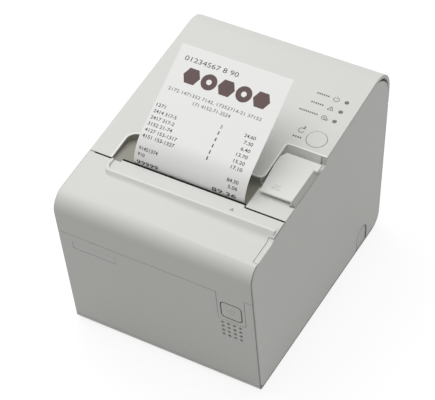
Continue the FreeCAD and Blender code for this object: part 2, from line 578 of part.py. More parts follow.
def build_power():
    """Power button with its switch and sounder on a small upright board behind the front."""
    sides = ("power_x-power_width/2", "power_x+power_width/2")
    ends = ("power_z-power_height/2", "power_z+power_height/2")
    button = Piece("power_button").pad("XZ", -110, "power_rear", rect(*sides, *ends, "power_round"))
    button.pocket("YZ", sides[0] + "-1", sides[1] + "+1", shape(
        (-120, 50), (front(50), 50), (front(110), 110), (-120, 110)))
    Piece("switch_board").pad("XZ", -71.9, "-71.9+board_thick", rect("chassis_half", 64, 46, 90, 1))
    switch = Piece("power_switch")
    switch.pad("XZ", -79, -71.9, rect("power_x-6", "power_x+6", "power_z-6", "power_z+6", 1))
    switch.pad("XZ", "power_rear+1.9", -79, rect(
        "power_x-2.5", "power_x+2.5", "power_z-2.5", "power_z+2.5", 0.5))
    Piece("buzzer").pad("XZ", -82, -71.9, ring("grille_x", "grille_z", 8)).pocket(
        "XZ", -83, -80, ring("grille_x", "grille_z", 1.5))


def build_chassis():
    """Steel frame, paper well, boards and the connectors in the rear bay."""
    floor = "foot_height+wall"
    side = shape((front(floor, "wall+1"), floor), ("chassis_rear", floor), ("chassis_rear", 98), (-20, 98),
                 (-34, "chassis_top"), (-90, "chassis_top"), (front(98, "wall+1"), 98))
    frame = Piece("chassis_frame").both_sides("pad", "chassis_half-sheet", "chassis_half", side)
    frame.pocket("YZ", "chassis_half-sheet-1", "chassis_half+1", rect(
        "lever_front-4", 0, "shelf_floor-shelf_thick-0.4", 130))
    frame.pad("XZ", "cross_y-sheet/2", "cross_y+sheet/2", rect(
        "-chassis_half+0.2", "chassis_half-0.2", "cross_low", "cross_high"))
    frame.pad("XY", "cross_low", "cross_low+sheet", rect(
        "crank_x-11", "crank_x+11", "crank_y-11", "cross_y"))
    frame.pocket("XY", "cross_low-1", "cross_low+3", ring("crank_x", "crank_y", "2+running_play"))
    frame.pocket("YZ", "-chassis_half-1", "-chassis_half+2",
                 ring("pinion_y", "pinion_z", "1.5+running_play"),
                 rect("platen_y-3.8", "platen_y+4.7", "platen_z-3.5", 130))

    inner, outer = "well_radius", "(well_radius+well_wall)"
    rear_in, rear_out = "(roll_y+%s)" % inner, "(roll_y+%s)" % outer

    def guide(y, reach):
        """Height at y of the paper guide that runs into the trough at this radius."""
        return "(well_z-(%s)/cos(well_pitch)-((%s)-roll_y)*tan(well_pitch))" % (reach, y)

    well = Piece("paper_well").pad("YZ", "-well_half", "well_half", shape(
        (-40, guide(-40, inner)), (rear_in, guide(rear_in, inner), inner), (rear_in, 112), (rear_out, 112),
        (rear_out, guide(rear_out, outer), outer), (-41.3, guide(-41.3, outer))))
    well.both_sides("pad", "well_half-2.2", "well_half", shape(
        (-38, guide(-38, outer)), (rear_out, guide(rear_out, outer), outer), (rear_out, 108), (-10, 108)))
    Piece("paper_sensor").pad("YZ", -4, 4, shape(
        (-34, guide(-34, outer)), (-28, guide(-28, outer)), (-31, guide(-28, outer) + "-4"),
        (-37, guide(-34, outer) + "-4")))

    top_of_board = "board_height+board_thick"
    Piece("main_board").pad("XY", "board_height", top_of_board, rect(-42.6, 42.6, -78, 55, 1))
    plate_rear = "chassis_rear+sheet"
    plate = Piece("connector_plate").pad("XZ", "chassis_rear", plate_rear, rect(-66, 66, floor, 40))
    plate.pocket("XZ", "chassis_rear-1", "chassis_rear+3", rect(24, 38, top_of_board, 25.6),
                 rect(-2, 14, top_of_board, 25.6), rect(-42.8, -6.8, top_of_board, 22.6), ring(52, 18, 1.5))
    socket = Piece("power_socket").pad("XZ", 50, 66, rect(24, 38, top_of_board, 25.6))
    socket.pocket("XZ", 56.5, 67, ring(31, 18.6, 5.4))
    socket.pad("XZ", 56, 61, *[ring("31+2.6*cos(%d)" % angle, "18.6+2.6*sin(%d)" % angle, 0.5)
                               for angle in (90, 210, 330)])
    jack = Piece("drawer_jack").pad("XZ", 50, 66, rect(-2, 14, top_of_board, 25.6))
    jack.pocket("XZ", 56, 67, rect(0.2, 11.8, 14.5, 21.5)).pocket("XZ", 56, 67, rect(3, 9, 12.5, 15))
    data = Piece("data_connector").pad("XZ", 52, 59.5, rect(-42.8, -6.8, top_of_board, 22.6))
    data.pad("XZ", 59, 65, shape((-39.8, 21.4, 2), (-38.3, 13, 2), (-11.3, 13, 2), (-9.8, 21.4, 2)))
    data.pocket("XZ", 60, 66, shape(
        (-39, 20.7, 1.4), (-37.6, 13.7, 1.4), (-12, 13.7, 1.4), (-10.6, 20.7, 1.4)))
    screw = Piece("ground_screw").pad("XZ", 52, plate_rear, ring(52, 18, 1.5))
    screw.pad("XZ", plate_rear, plate_rear + "+2.2", ring(52, 18, 3.2))
    screw.pocket("XZ", plate_rear + "+1", plate_rear + "+3", rect(49.8, 54.2, 17.6, 18.4),
                 rect(51.6, 52.4, 19, 20.2))


def build_print_head():
    """Thermal head pressed towards the platen, its heat sink, springs and ribbon cable."""
    width = ("-head_half", "head_half")
    Piece("thermal_head").pad("XZ", "head_face-1.2", "head_face", rect(*width, "head_low", "head_high"))
    Piece("head_heat_sink").pad("XZ", -58, "head_face-1.2", rect(*width, "sink_low", "head_high"))
    springs = []
    for side in ("", "-"):
        spring = Piece("head_spring", group=True)
        springs.append(spring.pad("XZ", "cross_y+sheet/2", -58, ring(side + "spring_x", "spring_z", 3),
                                  ring(side + "spring_x", "spring_z", 2.2)))
    group("head_springs", *springs)
    Piece("head_cable").pad("YZ", -10, 12, shape(
        (-55.7, "sink_low"), (-55.3, "sink_low"), (-57.8, 92, 5), (-57.8, 30, 5),
        (-61.6, "board_height+board_thick"), (-62, "board_height+board_thick"),
        (-58.2, 30, 5), (-58.2, 92, 5)))


def build_cutter():
    """Guillotine: guide plate, sliding blade driven by a crank, fixed blade on the lid."""
    under = "chassis_top"
    plate_top = "chassis_top+cutter_plate_thick"
    plate = Piece("cutter_plate").pad("XY", under, plate_top, rect(
        "-chassis_half", "chassis_half", -88, "cutter_rear"))
    plate.pocket("XY", under + "-1", plate_top + "+1", ring(
        "crank_x", "crank_y", "crank_throw+crank_pin_radius+1"))
    for low, high in (("blade_half+0.4", "chassis_half"), ("-chassis_half", "-blade_half-0.4")):
        plate.pad("XY", plate_top + "-0.2", "blade_low+1.4", rect(low, high, -78, -60))
    pin_y = "crank_y-crank_throw"
    blade = Piece("moving_blade").pad("XY", "blade_low", "blade_low+blade_thick", shape(
        ("-blade_half", -54.4), ("-blade_half", -72), (-14, -83), (26, -83), ("blade_half", -72),
        ("blade_half", -54.4), (0, -60)))
    blade.pocket("XY", "blade_low-1", "blade_low+3", rect(
        "crank_x-crank_throw-2.1", "crank_x+crank_throw+2.1", pin_y + "-2.9", pin_y + "+2.9", 0.5))
    crank = Piece("cutter_crank").pad("XY", "cross_low-0.3", 106.3, ring("crank_x", "crank_y", 2))
    crank.pad("XY", 106, 110, ring("crank_x", "crank_y", 7.5))
    crank.pad("XY", 109.5, "blade_low+blade_thick+0.3", ring("crank_x", pin_y, "crank_pin_radius"))
    Piece("cutter_motor").pad("XY", 74, "cross_low-0.4", ring("crank_x", "crank_y", 9)).pad(
        "XY", 72, 74, ring("crank_x", "crank_y", 3)).pad(
        "XY", "cross_low-5", "cross_low", ring("crank_x", "crank_y", 9), ring("crank_x", "crank_y", 3.5))
    Piece("fixed_blade").pad("XY", "fixed_blade_low", "fixed_blade_low+sheet", rect(
        "-blade_half-1.2", "blade_half+0.4", "slot_rear-0.1", -38))


def gear(teeth, place, phase, bore):
    """Spur gear about an axis along X, thinned for play, a tooth standing at the phase angle."""
    module = value("gear_module")
    pitch, base = module * teeth / 2, module * teeth / 2 * math.cos(math.radians(20))
    root, tip = pitch - 1.25 * module, pitch + 0.95 * module

    def roll(radius):
        """Angle that the flank has turned through at this radius."""
        return math.sqrt((radius / base) ** 2 - 1) - math.acos(base / radius) if radius > base else 0.0

    half_at_pitch = math.pi / (2 * teeth) - 0.06 / pitch
    radii = [max(base, root)] + [max(base, root) + (tip - max(base, root)) * k / 4 for k in range(1, 5)]
    points = []
    for tooth in range(teeth):
        middle = phase + tooth * 2 * math.pi / teeth
        flank = [(r, half_at_pitch + roll(pitch) - roll(r)) for r in radii]
        if root < base:
            flank.insert(0, (root, flank[0][1]))
        points += [(r, middle - a) for r, a in flank] + [(r, middle + a) for r, a in reversed(flank)]
    y, z = (value(c) for c in place)
    left, right = value("gear_left"), value("gear_right")
    corners = [Vector(left, y + r * math.cos(a), z + r * math.sin(a)) for r, a in points]
    blank = Part.Face(Part.makePolygon(corners + corners[:1])).extrude(Vector(right - left, 0, 0))
    hole = Part.makeCylinder(bore, right - left + 2, Vector(left - 1, y, z), Vector(1, 0, 0))
    return blank.cut(hole)


def build_drive():
    """Platen on the lid, gear train on the left chassis plate and the feed motor."""
    platen, idler, pinion = ("platen_y", "platen_z"), ("idler_y", "idler_z"), ("pinion_y", "pinion_z")
    bracket = Piece("platen_bracket").pad("XY", "beam_under-sheet", "beam_under", rect(
        "-blade_half-2.4", "blade_half+1.6", "slot_rear+0.4", -29))
    arm = shape(("slot_rear+0.9", "beam_under-0.2"), ("slot_rear+0.9", "platen_z-2", 3),
                ("platen_y-3", "platen_z-6", 3), ("platen_y+4", "platen_z-6", 3), (-31, "beam_under-0.2"))
    seat = ring(*platen, "shaft_radius+1.6")
    bore = ring(*platen, "shaft_radius+running_play")
    bushes = []
    for low, high in (("-blade_half-2.4", "-blade_half-1.2"), ("blade_half+0.4", "blade_half+1.6")):
        bracket.pad("YZ", low, high, arm, seat)
        bushes.append(Piece("bush", group=True).pad("YZ", low, high, seat, bore))
    group("platen_bushes", *bushes)
    Piece("platen_shaft").pad("YZ", "gear_left", "blade_half+1.6", ring(*platen, "shaft_radius"))
    Piece("platen_roller").pad("YZ", "-platen_half", "platen_half", ring(*platen, "platen_radius"),
                               ring(*platen, "shaft_radius"))

    def bearing(start, end):
        """Direction of the line from one gear's centre to another's."""
        return math.atan2(value(end[1]) - value(start[1]), value(end[0]) - value(start[0]))

    teeth = {name: int(value(name + "_teeth")) for name in ("platen", "idler", "pinion")}
    down = bearing(platen, idler)
    onward = bearing(idler, pinion)
    idler_phase = down + math.pi + math.pi / teeth["idler"]
    step = 2 * math.pi / teeth["idler"]
    ahead = (idler_phase - onward) % step
    pinion_phase = onward + math.pi - ahead * teeth["idler"] / teeth["pinion"] + math.pi / teeth["pinion"]
    solid("platen_gear", gear(teeth["platen"], platen, down, value("shaft_radius")))
    solid("idler_gear", gear(teeth["idler"], idler, idler_phase, 2 + value("running_play")))
    shaft_end = Vector(value("gear_left"), value("pinion_y"), value("pinion_z"))
    shaft = Part.makeCylinder(1.5, -43.5 - shaft_end.x, shaft_end, Vector(1, 0, 0))
    solid("motor_pinion", gear(teeth["pinion"], pinion, pinion_phase, 1.0).fuse(shaft).removeSplitter())
    stud = Piece("idler_stud").pad("YZ", "gear_left-1", "-chassis_half", ring(*idler, 2))
    for low, high in (("gear_left-2", "gear_left-0.4"), ("gear_right+0.4", "-chassis_half")):
        stud.pad("YZ", low, high, ring(*idler, 3.5))
    half = "feed_motor_size/2"
    Piece("feed_motor").pad("YZ", "-chassis_half+sheet", -19, rect(
        "pinion_y-" + half, "pinion_y+" + half, "pinion_z-" + half, "pinion_z+" + half, 4))


def build_paper():
    """Part-used roll on its core, the paper threaded to the cutter and the cut receipt in the slot."""
    width = ("-paper_width/2", "paper_width/2")
    middle = ("roll_y", "roll_z")
    Piece("paper_roll").pad("YZ", *width, ring(*middle, "roll_radius"), ring(*middle, "core_radius"))
    Piece("roll_core").pad("YZ", *width, ring(*middle, "core_radius"), ring(*middle, "core_bore"))

    span = math.hypot(value("roll_y") - value("web_y"), value("roll_z") - value("web_turn_z"))
    dip = math.atan2(value("web_turn_z") - value("roll_z"), value("roll_y") - value("web_y"))
    dip += math.asin((value("roll_radius") + 0.5) / span)
    run = span * math.cos(math.asin((value("roll_radius") + 0.5) / span))
    thin = value("paper_thick") / 2
    end_y, end_z = value("web_y") + run * math.cos(dip), value("web_turn_z") - run * math.sin(dip)
    kink = thin * math.tan((math.pi / 2 - dip) / 2)
    left, right = "(web_y-paper_thick/2)", "(web_y+paper_thick/2)"
    Piece("paper_web").pad("YZ", *width, shape(
        (left, "blade_low-1"), (left, value("web_turn_z") - kink, "web_turn_radius+paper_thick"),
        (end_y - thin * math.sin(dip), end_z - thin * math.cos(dip)),
        (end_y + thin * math.sin(dip), end_z + thin * math.cos(dip)),
        (right, value("web_turn_z") + kink, "web_turn_radius"), (right, "blade_low-1")))

    end = (right + "+receipt_reach*cos(receipt_pitch)", "receipt_turn_z+receipt_reach*sin(receipt_pitch)")
    Piece("receipt").pad("YZ", *width, shape(
        (left, "receipt_foot"), (right, "receipt_foot"), (right, "receipt_turn_z", "receipt_turn_radius"),
        end,
        (end[0] + "-paper_thick*sin(receipt_pitch)", end[1] + "+paper_thick*cos(receipt_pitch)"),
        (left, "receipt_turn_z+paper_thick*tan(45-receipt_pitch/2)", "receipt_turn_radius+paper_thick")))


for build in (build_case, build_hood, build_lid, build_hinge, build_lever, build_power, build_chassis,
              build_print_head, build_cutter, build_drive, build_paper):
    build()
doc.recompute()

for thing in doc.Objects:
    if "Invalid" in thing.State or "Error" in thing.State:
        raise RuntimeError("%s did not build" % thing.Label)
os.makedirs("parts", exist_ok=True)
for node in exported:
    if node.Shape.isNull() or not node.Shape.isValid():
        raise RuntimeError("%s has no valid shape" % node.Label)
    node.Shape.exportStep("parts/%s.step" % node.Label)
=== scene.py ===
"""Looks of a desktop receipt printer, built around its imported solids."""

import json
import logging
import math
from contextlib import contextmanager
from dataclasses import dataclass, field
from enum import Enum
from typing import Any, Iterable, Iterator, Mapping, NamedTuple, Protocol, Sequence

import bmesh
import bpy
from mathutils import Matrix, Vector


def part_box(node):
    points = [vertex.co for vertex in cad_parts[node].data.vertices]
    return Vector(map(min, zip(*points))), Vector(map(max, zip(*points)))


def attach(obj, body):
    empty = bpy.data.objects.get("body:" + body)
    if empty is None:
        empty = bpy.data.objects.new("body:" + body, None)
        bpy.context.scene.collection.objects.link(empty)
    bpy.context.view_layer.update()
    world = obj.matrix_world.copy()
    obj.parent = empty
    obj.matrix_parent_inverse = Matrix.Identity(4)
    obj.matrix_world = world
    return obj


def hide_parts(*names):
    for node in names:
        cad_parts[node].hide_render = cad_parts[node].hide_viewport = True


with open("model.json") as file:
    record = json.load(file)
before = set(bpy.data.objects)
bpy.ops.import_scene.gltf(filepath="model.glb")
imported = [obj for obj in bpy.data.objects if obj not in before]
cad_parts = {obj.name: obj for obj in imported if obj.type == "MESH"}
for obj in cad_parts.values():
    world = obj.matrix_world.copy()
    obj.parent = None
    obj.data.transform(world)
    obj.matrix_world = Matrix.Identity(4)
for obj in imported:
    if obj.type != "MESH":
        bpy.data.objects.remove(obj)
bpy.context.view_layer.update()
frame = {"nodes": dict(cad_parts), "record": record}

Triple = tuple[float, float, float]
Colour = Triple
Point = tuple[float, float]
Outline = tuple[Point, ...]
MM = 0.001
QUARTER = math.pi / 2
WHITE = (1.0, 1.0, 1.0, 1.0)
log = logging.getLogger("receipt_printer")


class Body(Enum):
    """Bodies of the printer that new pieces ride on."""

    CASE = "case"
    HOOD = "hood"
    LID = "lid"
    LEVER = "lever"
    POWER = "power"


class Slot(Enum):
    """Material slots of the record that new pieces take their finish from."""

    CASE = "case_plastic"
    DARK = "dark_plastic"
    STEEL = "bright_steel"
    TINNED = "connector_metal"
    CERAMIC = "ceramic"


class Wire:
    """Output socket of a shader node that takes part in sums like a number."""

    def __init__(self, graph: "Graph", socket: bpy.types.NodeSocket) -> None:
        """Keep the socket and the tree that it belongs to."""
        self.graph = graph
        self.socket = socket

    def _math(self, operation: str, first: Any, second: Any) -> "Wire":
        """Add one Math node and return its result."""
        return self.graph.node("ShaderNodeMath", {"operation": operation}, {0: first, 1: second})

    def __add__(self, other: Any) -> "Wire":
        """Sum with a wire or a number."""
        return self._math("ADD", self, other)

    def __radd__(self, other: Any) -> "Wire":
        """Sum with a number on the left."""
        return self._math("ADD", other, self)

    def __sub__(self, other: Any) -> "Wire":
        """Difference from a wire or a number."""
        return self._math("SUBTRACT", self, other)

    def __rsub__(self, other: Any) -> "Wire":
        """Difference with a number on the left."""
        return self._math("SUBTRACT", other, self)

    def __mul__(self, other: Any) -> "Wire":
        """Product with a wire or a number."""
        return self._math("MULTIPLY", self, other)

    def __rmul__(self, other: Any) -> "Wire":
        """Product with a number on the left."""
        return self._math("MULTIPLY", other, self)

    def __gt__(self, other: Any) -> "Wire":
        """One where this is the larger, else nought."""
        return self._math("GREATER_THAN", self, other)

    def clipped(self) -> "Wire":
        """Value held between nought and one."""
        return self.graph.node("ShaderNodeClamp", sockets={"Value": self})


class Graph:
    """A node tree in the making."""

    def __init__(self, tree: bpy.types.NodeTree) -> None:
        """Start with the tree empty."""
        self.tree = tree
        self.tree.nodes.clear()

    def node(self, kind: str, settings: Mapping[str, Any] | None = None,
             sockets: Mapping[Any, Any] | None = None, output: Any = 0) -> Wire:
        """Add a node, set it up and connect it.

        Args:
            kind: Blender's name of the node type.
            settings: Properties that are set first.
            sockets: Values or wires by the input's name or number.
            output: Name or number of the output that is wanted.

        Returns:
            The wire from that output.
        """
        made = self.tree.nodes.new(kind)
        for key, setting in (settings or {}).items():
            setattr(made, key, setting)
        for key, given in (sockets or {}).items():
            if isinstance(given, Wire):
                self.tree.links.new(given.socket, made.inputs[key])
            else:
                made.inputs[key].default_value = given
        return Wire(self, made.outputs[output])

    def close(self, kind: str, surface: Wire) -> None:
        """Connect the finished surface to the tree's output of this kind."""
        made = self.tree.nodes.new(kind)
        self.tree.links.new(surface.socket, made.inputs["Surface"])


class Shader(Graph):
    """Node tree of one material, read in the piece's Object coordinates."""

    def __init__(self, name: str) -> None:
        """Start an empty material.

        Args:
            name: Name of the material.
        """
        self.material = bpy.data.materials.new(name)
        self.material.use_nodes = True
        super().__init__(self.material.node_tree)
        self.place = self.node("ShaderNodeTexCoord", output="Object")

    def mapped(self, **settings: Triple) -> Wire:
        """Object coordinates moved by a Location or stretched by a Scale."""
        return self.node("ShaderNodeMapping", sockets={"Vector": self.place, **settings}, output="Vector")

    def vector(self, operation: str, first: Wire, second: Any = (0.0, 0.0, 0.0),
               output: str = "Vector") -> Wire:
        """Result of one Vector Math node."""
        return self.node("ShaderNodeVectorMath", {"operation": operation}, {0: first, 1: second}, output)

    def axis(self, name: str, place: Wire | None = None) -> Wire:
        """One component of the Object coordinates, or of another vector."""
        return self.node("ShaderNodeSeparateXYZ", sockets={0: place or self.place}, output=name)

    def normal(self) -> Wire:
        """Normal of the surface, without any softening."""
        return self.node("ShaderNodeNewGeometry", output="Normal")

    def noise(self, size: float, detail: float = 2.0, place: Wire | None = None) -> Wire:
        """Cloudy values between nought and one.

        Args:
            size: Width of the clouds in metres.
            detail: Octaves of finer structure.
            place: Coordinates to read instead of the plain ones.

        Returns:
            The wire of the values.
        """
        return self.node("ShaderNodeTexNoise", sockets={
            "Vector": place or self.place, "Scale": 1.0 / size, "Detail": detail}, output="Fac")

    def bands(self, direction: str, scale: float, distortion: float = 0.0) -> Wire:
        """Parallel waves between nought and one."""
        return self.node("ShaderNodeTexWave", {"wave_type": "BANDS", "bands_direction": direction}, {
            "Vector": self.place, "Scale": scale, "Distortion": distortion}, output="Fac")

    def mix(self, factor: Any, first: Any, second: Any, blend: str = "MIX") -> Wire:
        """Blend two colours."""
        pair = [c if isinstance(c, Wire) else (*c, 1.0) for c in (first, second)]
        return self.node("ShaderNodeMix", {"data_type": "RGBA", "blend_type": blend, "clamp_factor": True},
                         {0: factor, 6: pair[0], 7: pair[1]}, output=2)

    def tint(self, colour: Colour, spread: float, by: Wire) -> Wire:
        """Colour that wanders a little lighter and darker with a value."""
        return self.mix(by, [c * (1 - spread) for c in colour], [min(1.0, c * (1 + spread)) for c in colour])

    def rounded(self, radius: float) -> tuple[Wire, Wire]:
        """Soften the edges.

        Args:
            radius: Radius of the edges in metres.

        Returns:
            The softened normal, and how far each spot lies on an edge.
        """
        soft = self.node("ShaderNodeBevel", {"samples": 4}, {"Radius": radius}, "Normal")
        along = self.vector("DOT_PRODUCT", soft, self.normal(), "Value")
        return soft, (1 - along).clipped()

    def bump(self, height: Wire, depth: float, normal: Wire | None = None) -> Wire:
        """Raise and lower the surface.

        Args:
            height: Values between nought and one.
            depth: Height of one, in metres.
            normal: Normal to start from, instead of the plain one.

        Returns:
            The wire of the new normal.
        """
        sockets = {"Height": height, "Distance": depth, "Strength": 1.0}
        if normal:
            sockets["Normal"] = normal
        return self.node("ShaderNodeBump", sockets=sockets, output="Normal")

    def surface(self, colour: Any, roughness: Any, normal: Wire, **constants: Any) -> bpy.types.Material:
        """Close the tree with one principled surface.

        Args:
            colour: Base colour, plain or as a wire.
            roughness: Roughness, plain or as a wire.
            normal: Wire of the normal.
            constants: Values for other sockets, with spaces written as underscores.

        Returns:
            The finished material.
        """
        sockets = {"Base Color": colour, "Roughness": roughness, "Normal": normal}
        sockets.update({key.replace("_", " "): given for key, given in constants.items()})
        self.close("ShaderNodeOutputMaterial", self.node("ShaderNodeBsdfPrincipled", sockets=sockets))
        return self.material


class Finish(Protocol):
    """Anything that has a name and can make its own material."""

    @property
    def name(self) -> str:
        """Name of the finish."""
        ...

    def material(self) -> bpy.types.Material:
        """Make the material."""
        ...


@dataclass(frozen=True)
class Moulding:
    """Moulded plastic: fine eroded grain, faint flow clouds, softened and slightly polished edges."""

    name: str
    colour: Colour
    roughness: float = 0.5
    grain: float = 0.3 * MM
    grain_depth: float = 0.008 * MM
    edge: float = 0.45 * MM
    polish: float = 0.25
    gloss: float = 0.5
    cloud: float = 70 * MM

    def material(self) -> bpy.types.Material:
        """Make the material.

        Returns:
            Plastic with its grain, clouds and edges.
        """
        shader = Shader(self.name)
        cloud = shader.noise(self.cloud, 3.0)
        speck = shader.noise(self.grain)
        soft, edge = shader.rounded(self.edge)
        worn = (edge * 4).clipped()
        colour = shader.tint(self.colour, 0.02, cloud * 0.7 + speck * 0.3)
        lighter = [min(1.0, c * 1.12 + 0.01) for c in self.colour]
        colour = self.with_painted_shade(shader, shader.mix(worn * self.polish, colour, lighter))
        roughness = self.roughness + (speck - 0.5) * 0.12 - worn * 0.08
        return shader.surface(colour, roughness, shader.bump(speck, self.grain_depth, soft),
                              Specular_IOR_Level=self.gloss)

    def with_painted_shade(self, shader: Shader, colour: Wire) -> Wire:
        """Colour as it is; a moulding with painted shade darkens a region of it."""
        return colour


@dataclass(frozen=True)
class ShadePaintedMoulding(Moulding):
    """Moulded plastic with painted shade: a darkened region, a box, and within it only what lies under a
    slope along Y.
    """

    paired: bool = False
    low: Triple = (-1.0, -1.0, -1.0)
    high: Triple = (1.0, 1.0, 1.0)
    slope: float = 0.0
    height: float = 1.0
    shade: Colour = (0.5, 0.5, 0.5)

    def with_painted_shade(self, shader: Shader, colour: Wire) -> Wire:
        """Darken the region with painted shade.

        Args:
            shader: Tree of the material.
            colour: Colour of the rest.

        Returns:
            The colour with the region in its darker tone.
        """
        axes = [shader.axis(name) for name in "XYZ"]
        if self.paired:
            axes[0] = shader.node("ShaderNodeMath", {"operation": "ABSOLUTE"}, {0: axes[0]})
        inside = (self.height + axes[1] * self.slope - axes[2]) > 0.0
        for axis, low, high in zip(axes, self.low, self.high):
            inside = inside * (axis > low) * (1 - (axis > high))
        # painted shade: the region's colour is multiplied by the shade colour
        return shader.mix(inside, colour, self.shade, "MULTIPLY")


@dataclass(frozen=True)
class Metal:
    """Bare metal with drawn or ground lines along one axis."""

    name: str
    colour: Colour
    roughness: float = 0.35
    lines: Triple = (60.0, 4000.0, 4000.0)
    line_depth: float = 0.002 * MM
    bloom: float = 9 * MM
    edge: float = 0.25 * MM

    def material(self) -> bpy.types.Material:
        """Make the material.

        Returns:
            Metal with its lines and a faint bloom.
        """
        shader = Shader(self.name)
        streak = shader.noise(1.0, 3.0, shader.mapped(Scale=self.lines))
        bloom = shader.noise(self.bloom, 3.0)
        soft, edge = shader.rounded(self.edge)
        colour = shader.tint(self.colour, 0.08, streak * 0.5 + bloom * 0.5)
        roughness = self.roughness + (streak - 0.5) * 0.18 + (bloom - 0.5) * 0.12 - (edge * 3).clipped() * 0.1
        return shader.surface(colour, roughness, shader.bump(streak, self.line_depth, soft), Metallic=1.0)


@dataclass(frozen=True)
class Painted:
    """Dark lacquered metal with a little orange peel, dust and edges rubbed bright."""

    name: str
    colour: Colour
    bare: Colour = (0.45, 0.45, 0.46)
    roughness: float = 0.4
    peel: float = 0.9 * MM
    peel_depth: float = 0.01 * MM
    dust: float = 6 * MM
    edge: float = 0.3 * MM

    def material(self) -> bpy.types.Material:
        """Make the material.

        Returns:
            Lacquer with its dust and rubbed edges.
        """
        shader = Shader(self.name)
        peel = shader.noise(self.peel)
        dust = shader.noise(self.dust, 4.0)
        soft, edge = shader.rounded(self.edge)
        colour = shader.mix((dust - 0.45).clipped() * 0.5, self.colour, [c + 0.06 for c in self.colour])
        colour = shader.mix((edge * 3).clipped() * 0.4, colour, self.bare)
        return shader.surface(colour, self.roughness + (dust - 0.5) * 0.2,
                              shader.bump(peel, self.peel_depth, soft), Metallic=0.3)


@dataclass(frozen=True)
class Rubber:
    """Ground or moulded rubber with a dusty bloom."""

    name: str
    colour: Colour
    roughness: float = 0.72
    pits: float = 0.25 * MM
    pit_depth: float = 0.015 * MM
    bloom: float = 7 * MM
    edge: float = 0.4 * MM

    def material(self) -> bpy.types.Material:
        """Make the material.

        Returns:
            Rubber with its pits and bloom.
        """
        shader = Shader(self.name)
        pits = shader.noise(self.pits, 3.0)
        bloom = shader.noise(self.bloom, 4.0)
        soft, _ = shader.rounded(self.edge)
        colour = shader.mix((bloom - 0.4).clipped() * 0.6, self.colour, [c + 0.07 for c in self.colour])
        return shader.surface(colour, self.roughness + (bloom - 0.5) * 0.2,
                              shader.bump(pits, self.pit_depth, soft))


@dataclass(frozen=True)
class CircuitBoard:
    """Solder mask over copper tracks and plated holes."""

    name: str
    colour: Colour = (0.015, 0.09, 0.035)
    pad: Colour = (0.62, 0.58, 0.44)
    track_scale: float = 210.0
    hole_scale: float = 170.0
    hole_share: float = 0.13
    relief: float = 0.02 * MM
    edge: float = 0.15 * MM

    def material(self) -> bpy.types.Material:
        """Make the material.

        Returns:
            Board with its tracks and pads.
        """
        shader = Shader(self.name)
        tracks = shader.node("ShaderNodeTexBrick", {"offset": 0.37, "squash": 0.6, "squash_frequency": 3}, {
            "Vector": shader.place, "Scale": self.track_scale, "Mortar Size": 0.035, "Mortar Smooth": 0.2,
            "Brick Width": 0.9, "Row Height": 0.32}, output="Fac")
        holes = shader.node("ShaderNodeTexVoronoi", sockets={
            "Vector": shader.place, "Scale": self.hole_scale, "Randomness": 0.8}, output="Distance")
        pads = 1 - (holes > self.hole_share)
        colour = shader.mix(tracks * 0.55, self.colour, [c * 1.9 + 0.01 for c in self.colour])
        colour = shader.mix(pads, colour, self.pad)
        soft, _ = shader.rounded(self.edge)
        return shader.surface(colour, 0.32 + pads * 0.1, shader.bump(tracks + pads, self.relief, soft))


@dataclass(frozen=True)
class ThermalPaper:
    """Smooth coated paper; on the roll the wound layers show as rings about the roll's axis, darkened by
    painted shade between the layers.
    """

    name: str
    colour: Colour = (0.92, 0.92, 0.91)
    layer_shade: Colour = (0.62, 0.62, 0.60)
    roll_axis: Point = (28 * MM, 74.8 * MM)
    roll_reach: float = 31 * MM
    layer: float = 0.22 * MM
    fibre: float = 0.5 * MM
    cloud: float = 25 * MM
    relief: float = 0.006 * MM

    def material(self) -> bpy.types.Material:
        """Make the material.

        Returns:
            Paper with its fibres, and the rings on the roll's ends with painted shade between the layers.
        """
        shader = Shader(self.name)
        fibre = shader.noise(self.fibre, 4.0)
        cloud = shader.noise(self.cloud)
        away = shader.mapped(Location=(0.0, -self.roll_axis[0], -self.roll_axis[1]))
        reach = shader.vector("LENGTH", shader.vector("MULTIPLY", away, (0.0, 1.0, 1.0)), output="Value")
        layers = shader.noise(self.layer, 1.0, shader.node("ShaderNodeCombineXYZ", sockets={0: reach}))
        facing = shader.axis("X", shader.normal())
        wound = ((facing * facing) > 0.6) * (1 - (reach > self.roll_reach))
        colour = shader.tint(self.colour, 0.012, fibre * 0.4 + cloud * 0.6)
        # Painted shade between the wound layers darkens the rings on the roll's ends.
        colour = shader.mix(wound * (0.25 + layers * 0.3), colour, self.layer_shade)
        return shader.surface(colour, 0.5 + (fibre - 0.5) * 0.1,
                              shader.bump(fibre * 0.4 + layers * wound, self.relief))


@dataclass(frozen=True)
class CoreCard:
    """Spiral-wound grey-brown card."""

    name: str
    colour: Colour = (0.40, 0.30, 0.20)
    fibre: float = 0.6 * MM
    ply_scale: float = 22.0
    relief: float = 0.02 * MM

    def material(self) -> bpy.types.Material:
        """Make the material.

        Returns:
            Card with its fibres and plies.
        """
        shader = Shader(self.name)
        fibre = shader.noise(self.fibre, 4.0)
        plies = shader.bands("DIAGONAL", self.ply_scale, 0.6)
        colour = shader.tint(self.colour, 0.16, fibre * 0.6 + plies * 0.4)
        return shader.surface(colour, 0.8 + (fibre - 0.5) * 0.15,
                              shader.bump(fibre + plies * 0.3, self.relief))


@dataclass(frozen=True)
class Ink:
    """Heat-developed or printed ink, a little uneven in density."""

    name: str
    colour: Colour = (0.036, 0.028, 0.028)
    fade: Colour = (0.11, 0.09, 0.09)
    dots: float = 0.35 * MM
    cloud: float = 12 * MM
    relief: float = 0.002 * MM

    def material(self) -> bpy.types.Material:
        """Make the material.

        Returns:
            Ink with its uneven density.
        """
        shader = Shader(self.name)
        dots = shader.noise(self.dots)
        cloud = shader.noise(self.cloud)
        colour = shader.mix((dots * 0.6 + cloud * 0.5 - 0.3).clipped(), self.colour, self.fade)
        return shader.surface(colour, 0.55 + (dots - 0.5) * 0.1, shader.bump(dots, self.relief))


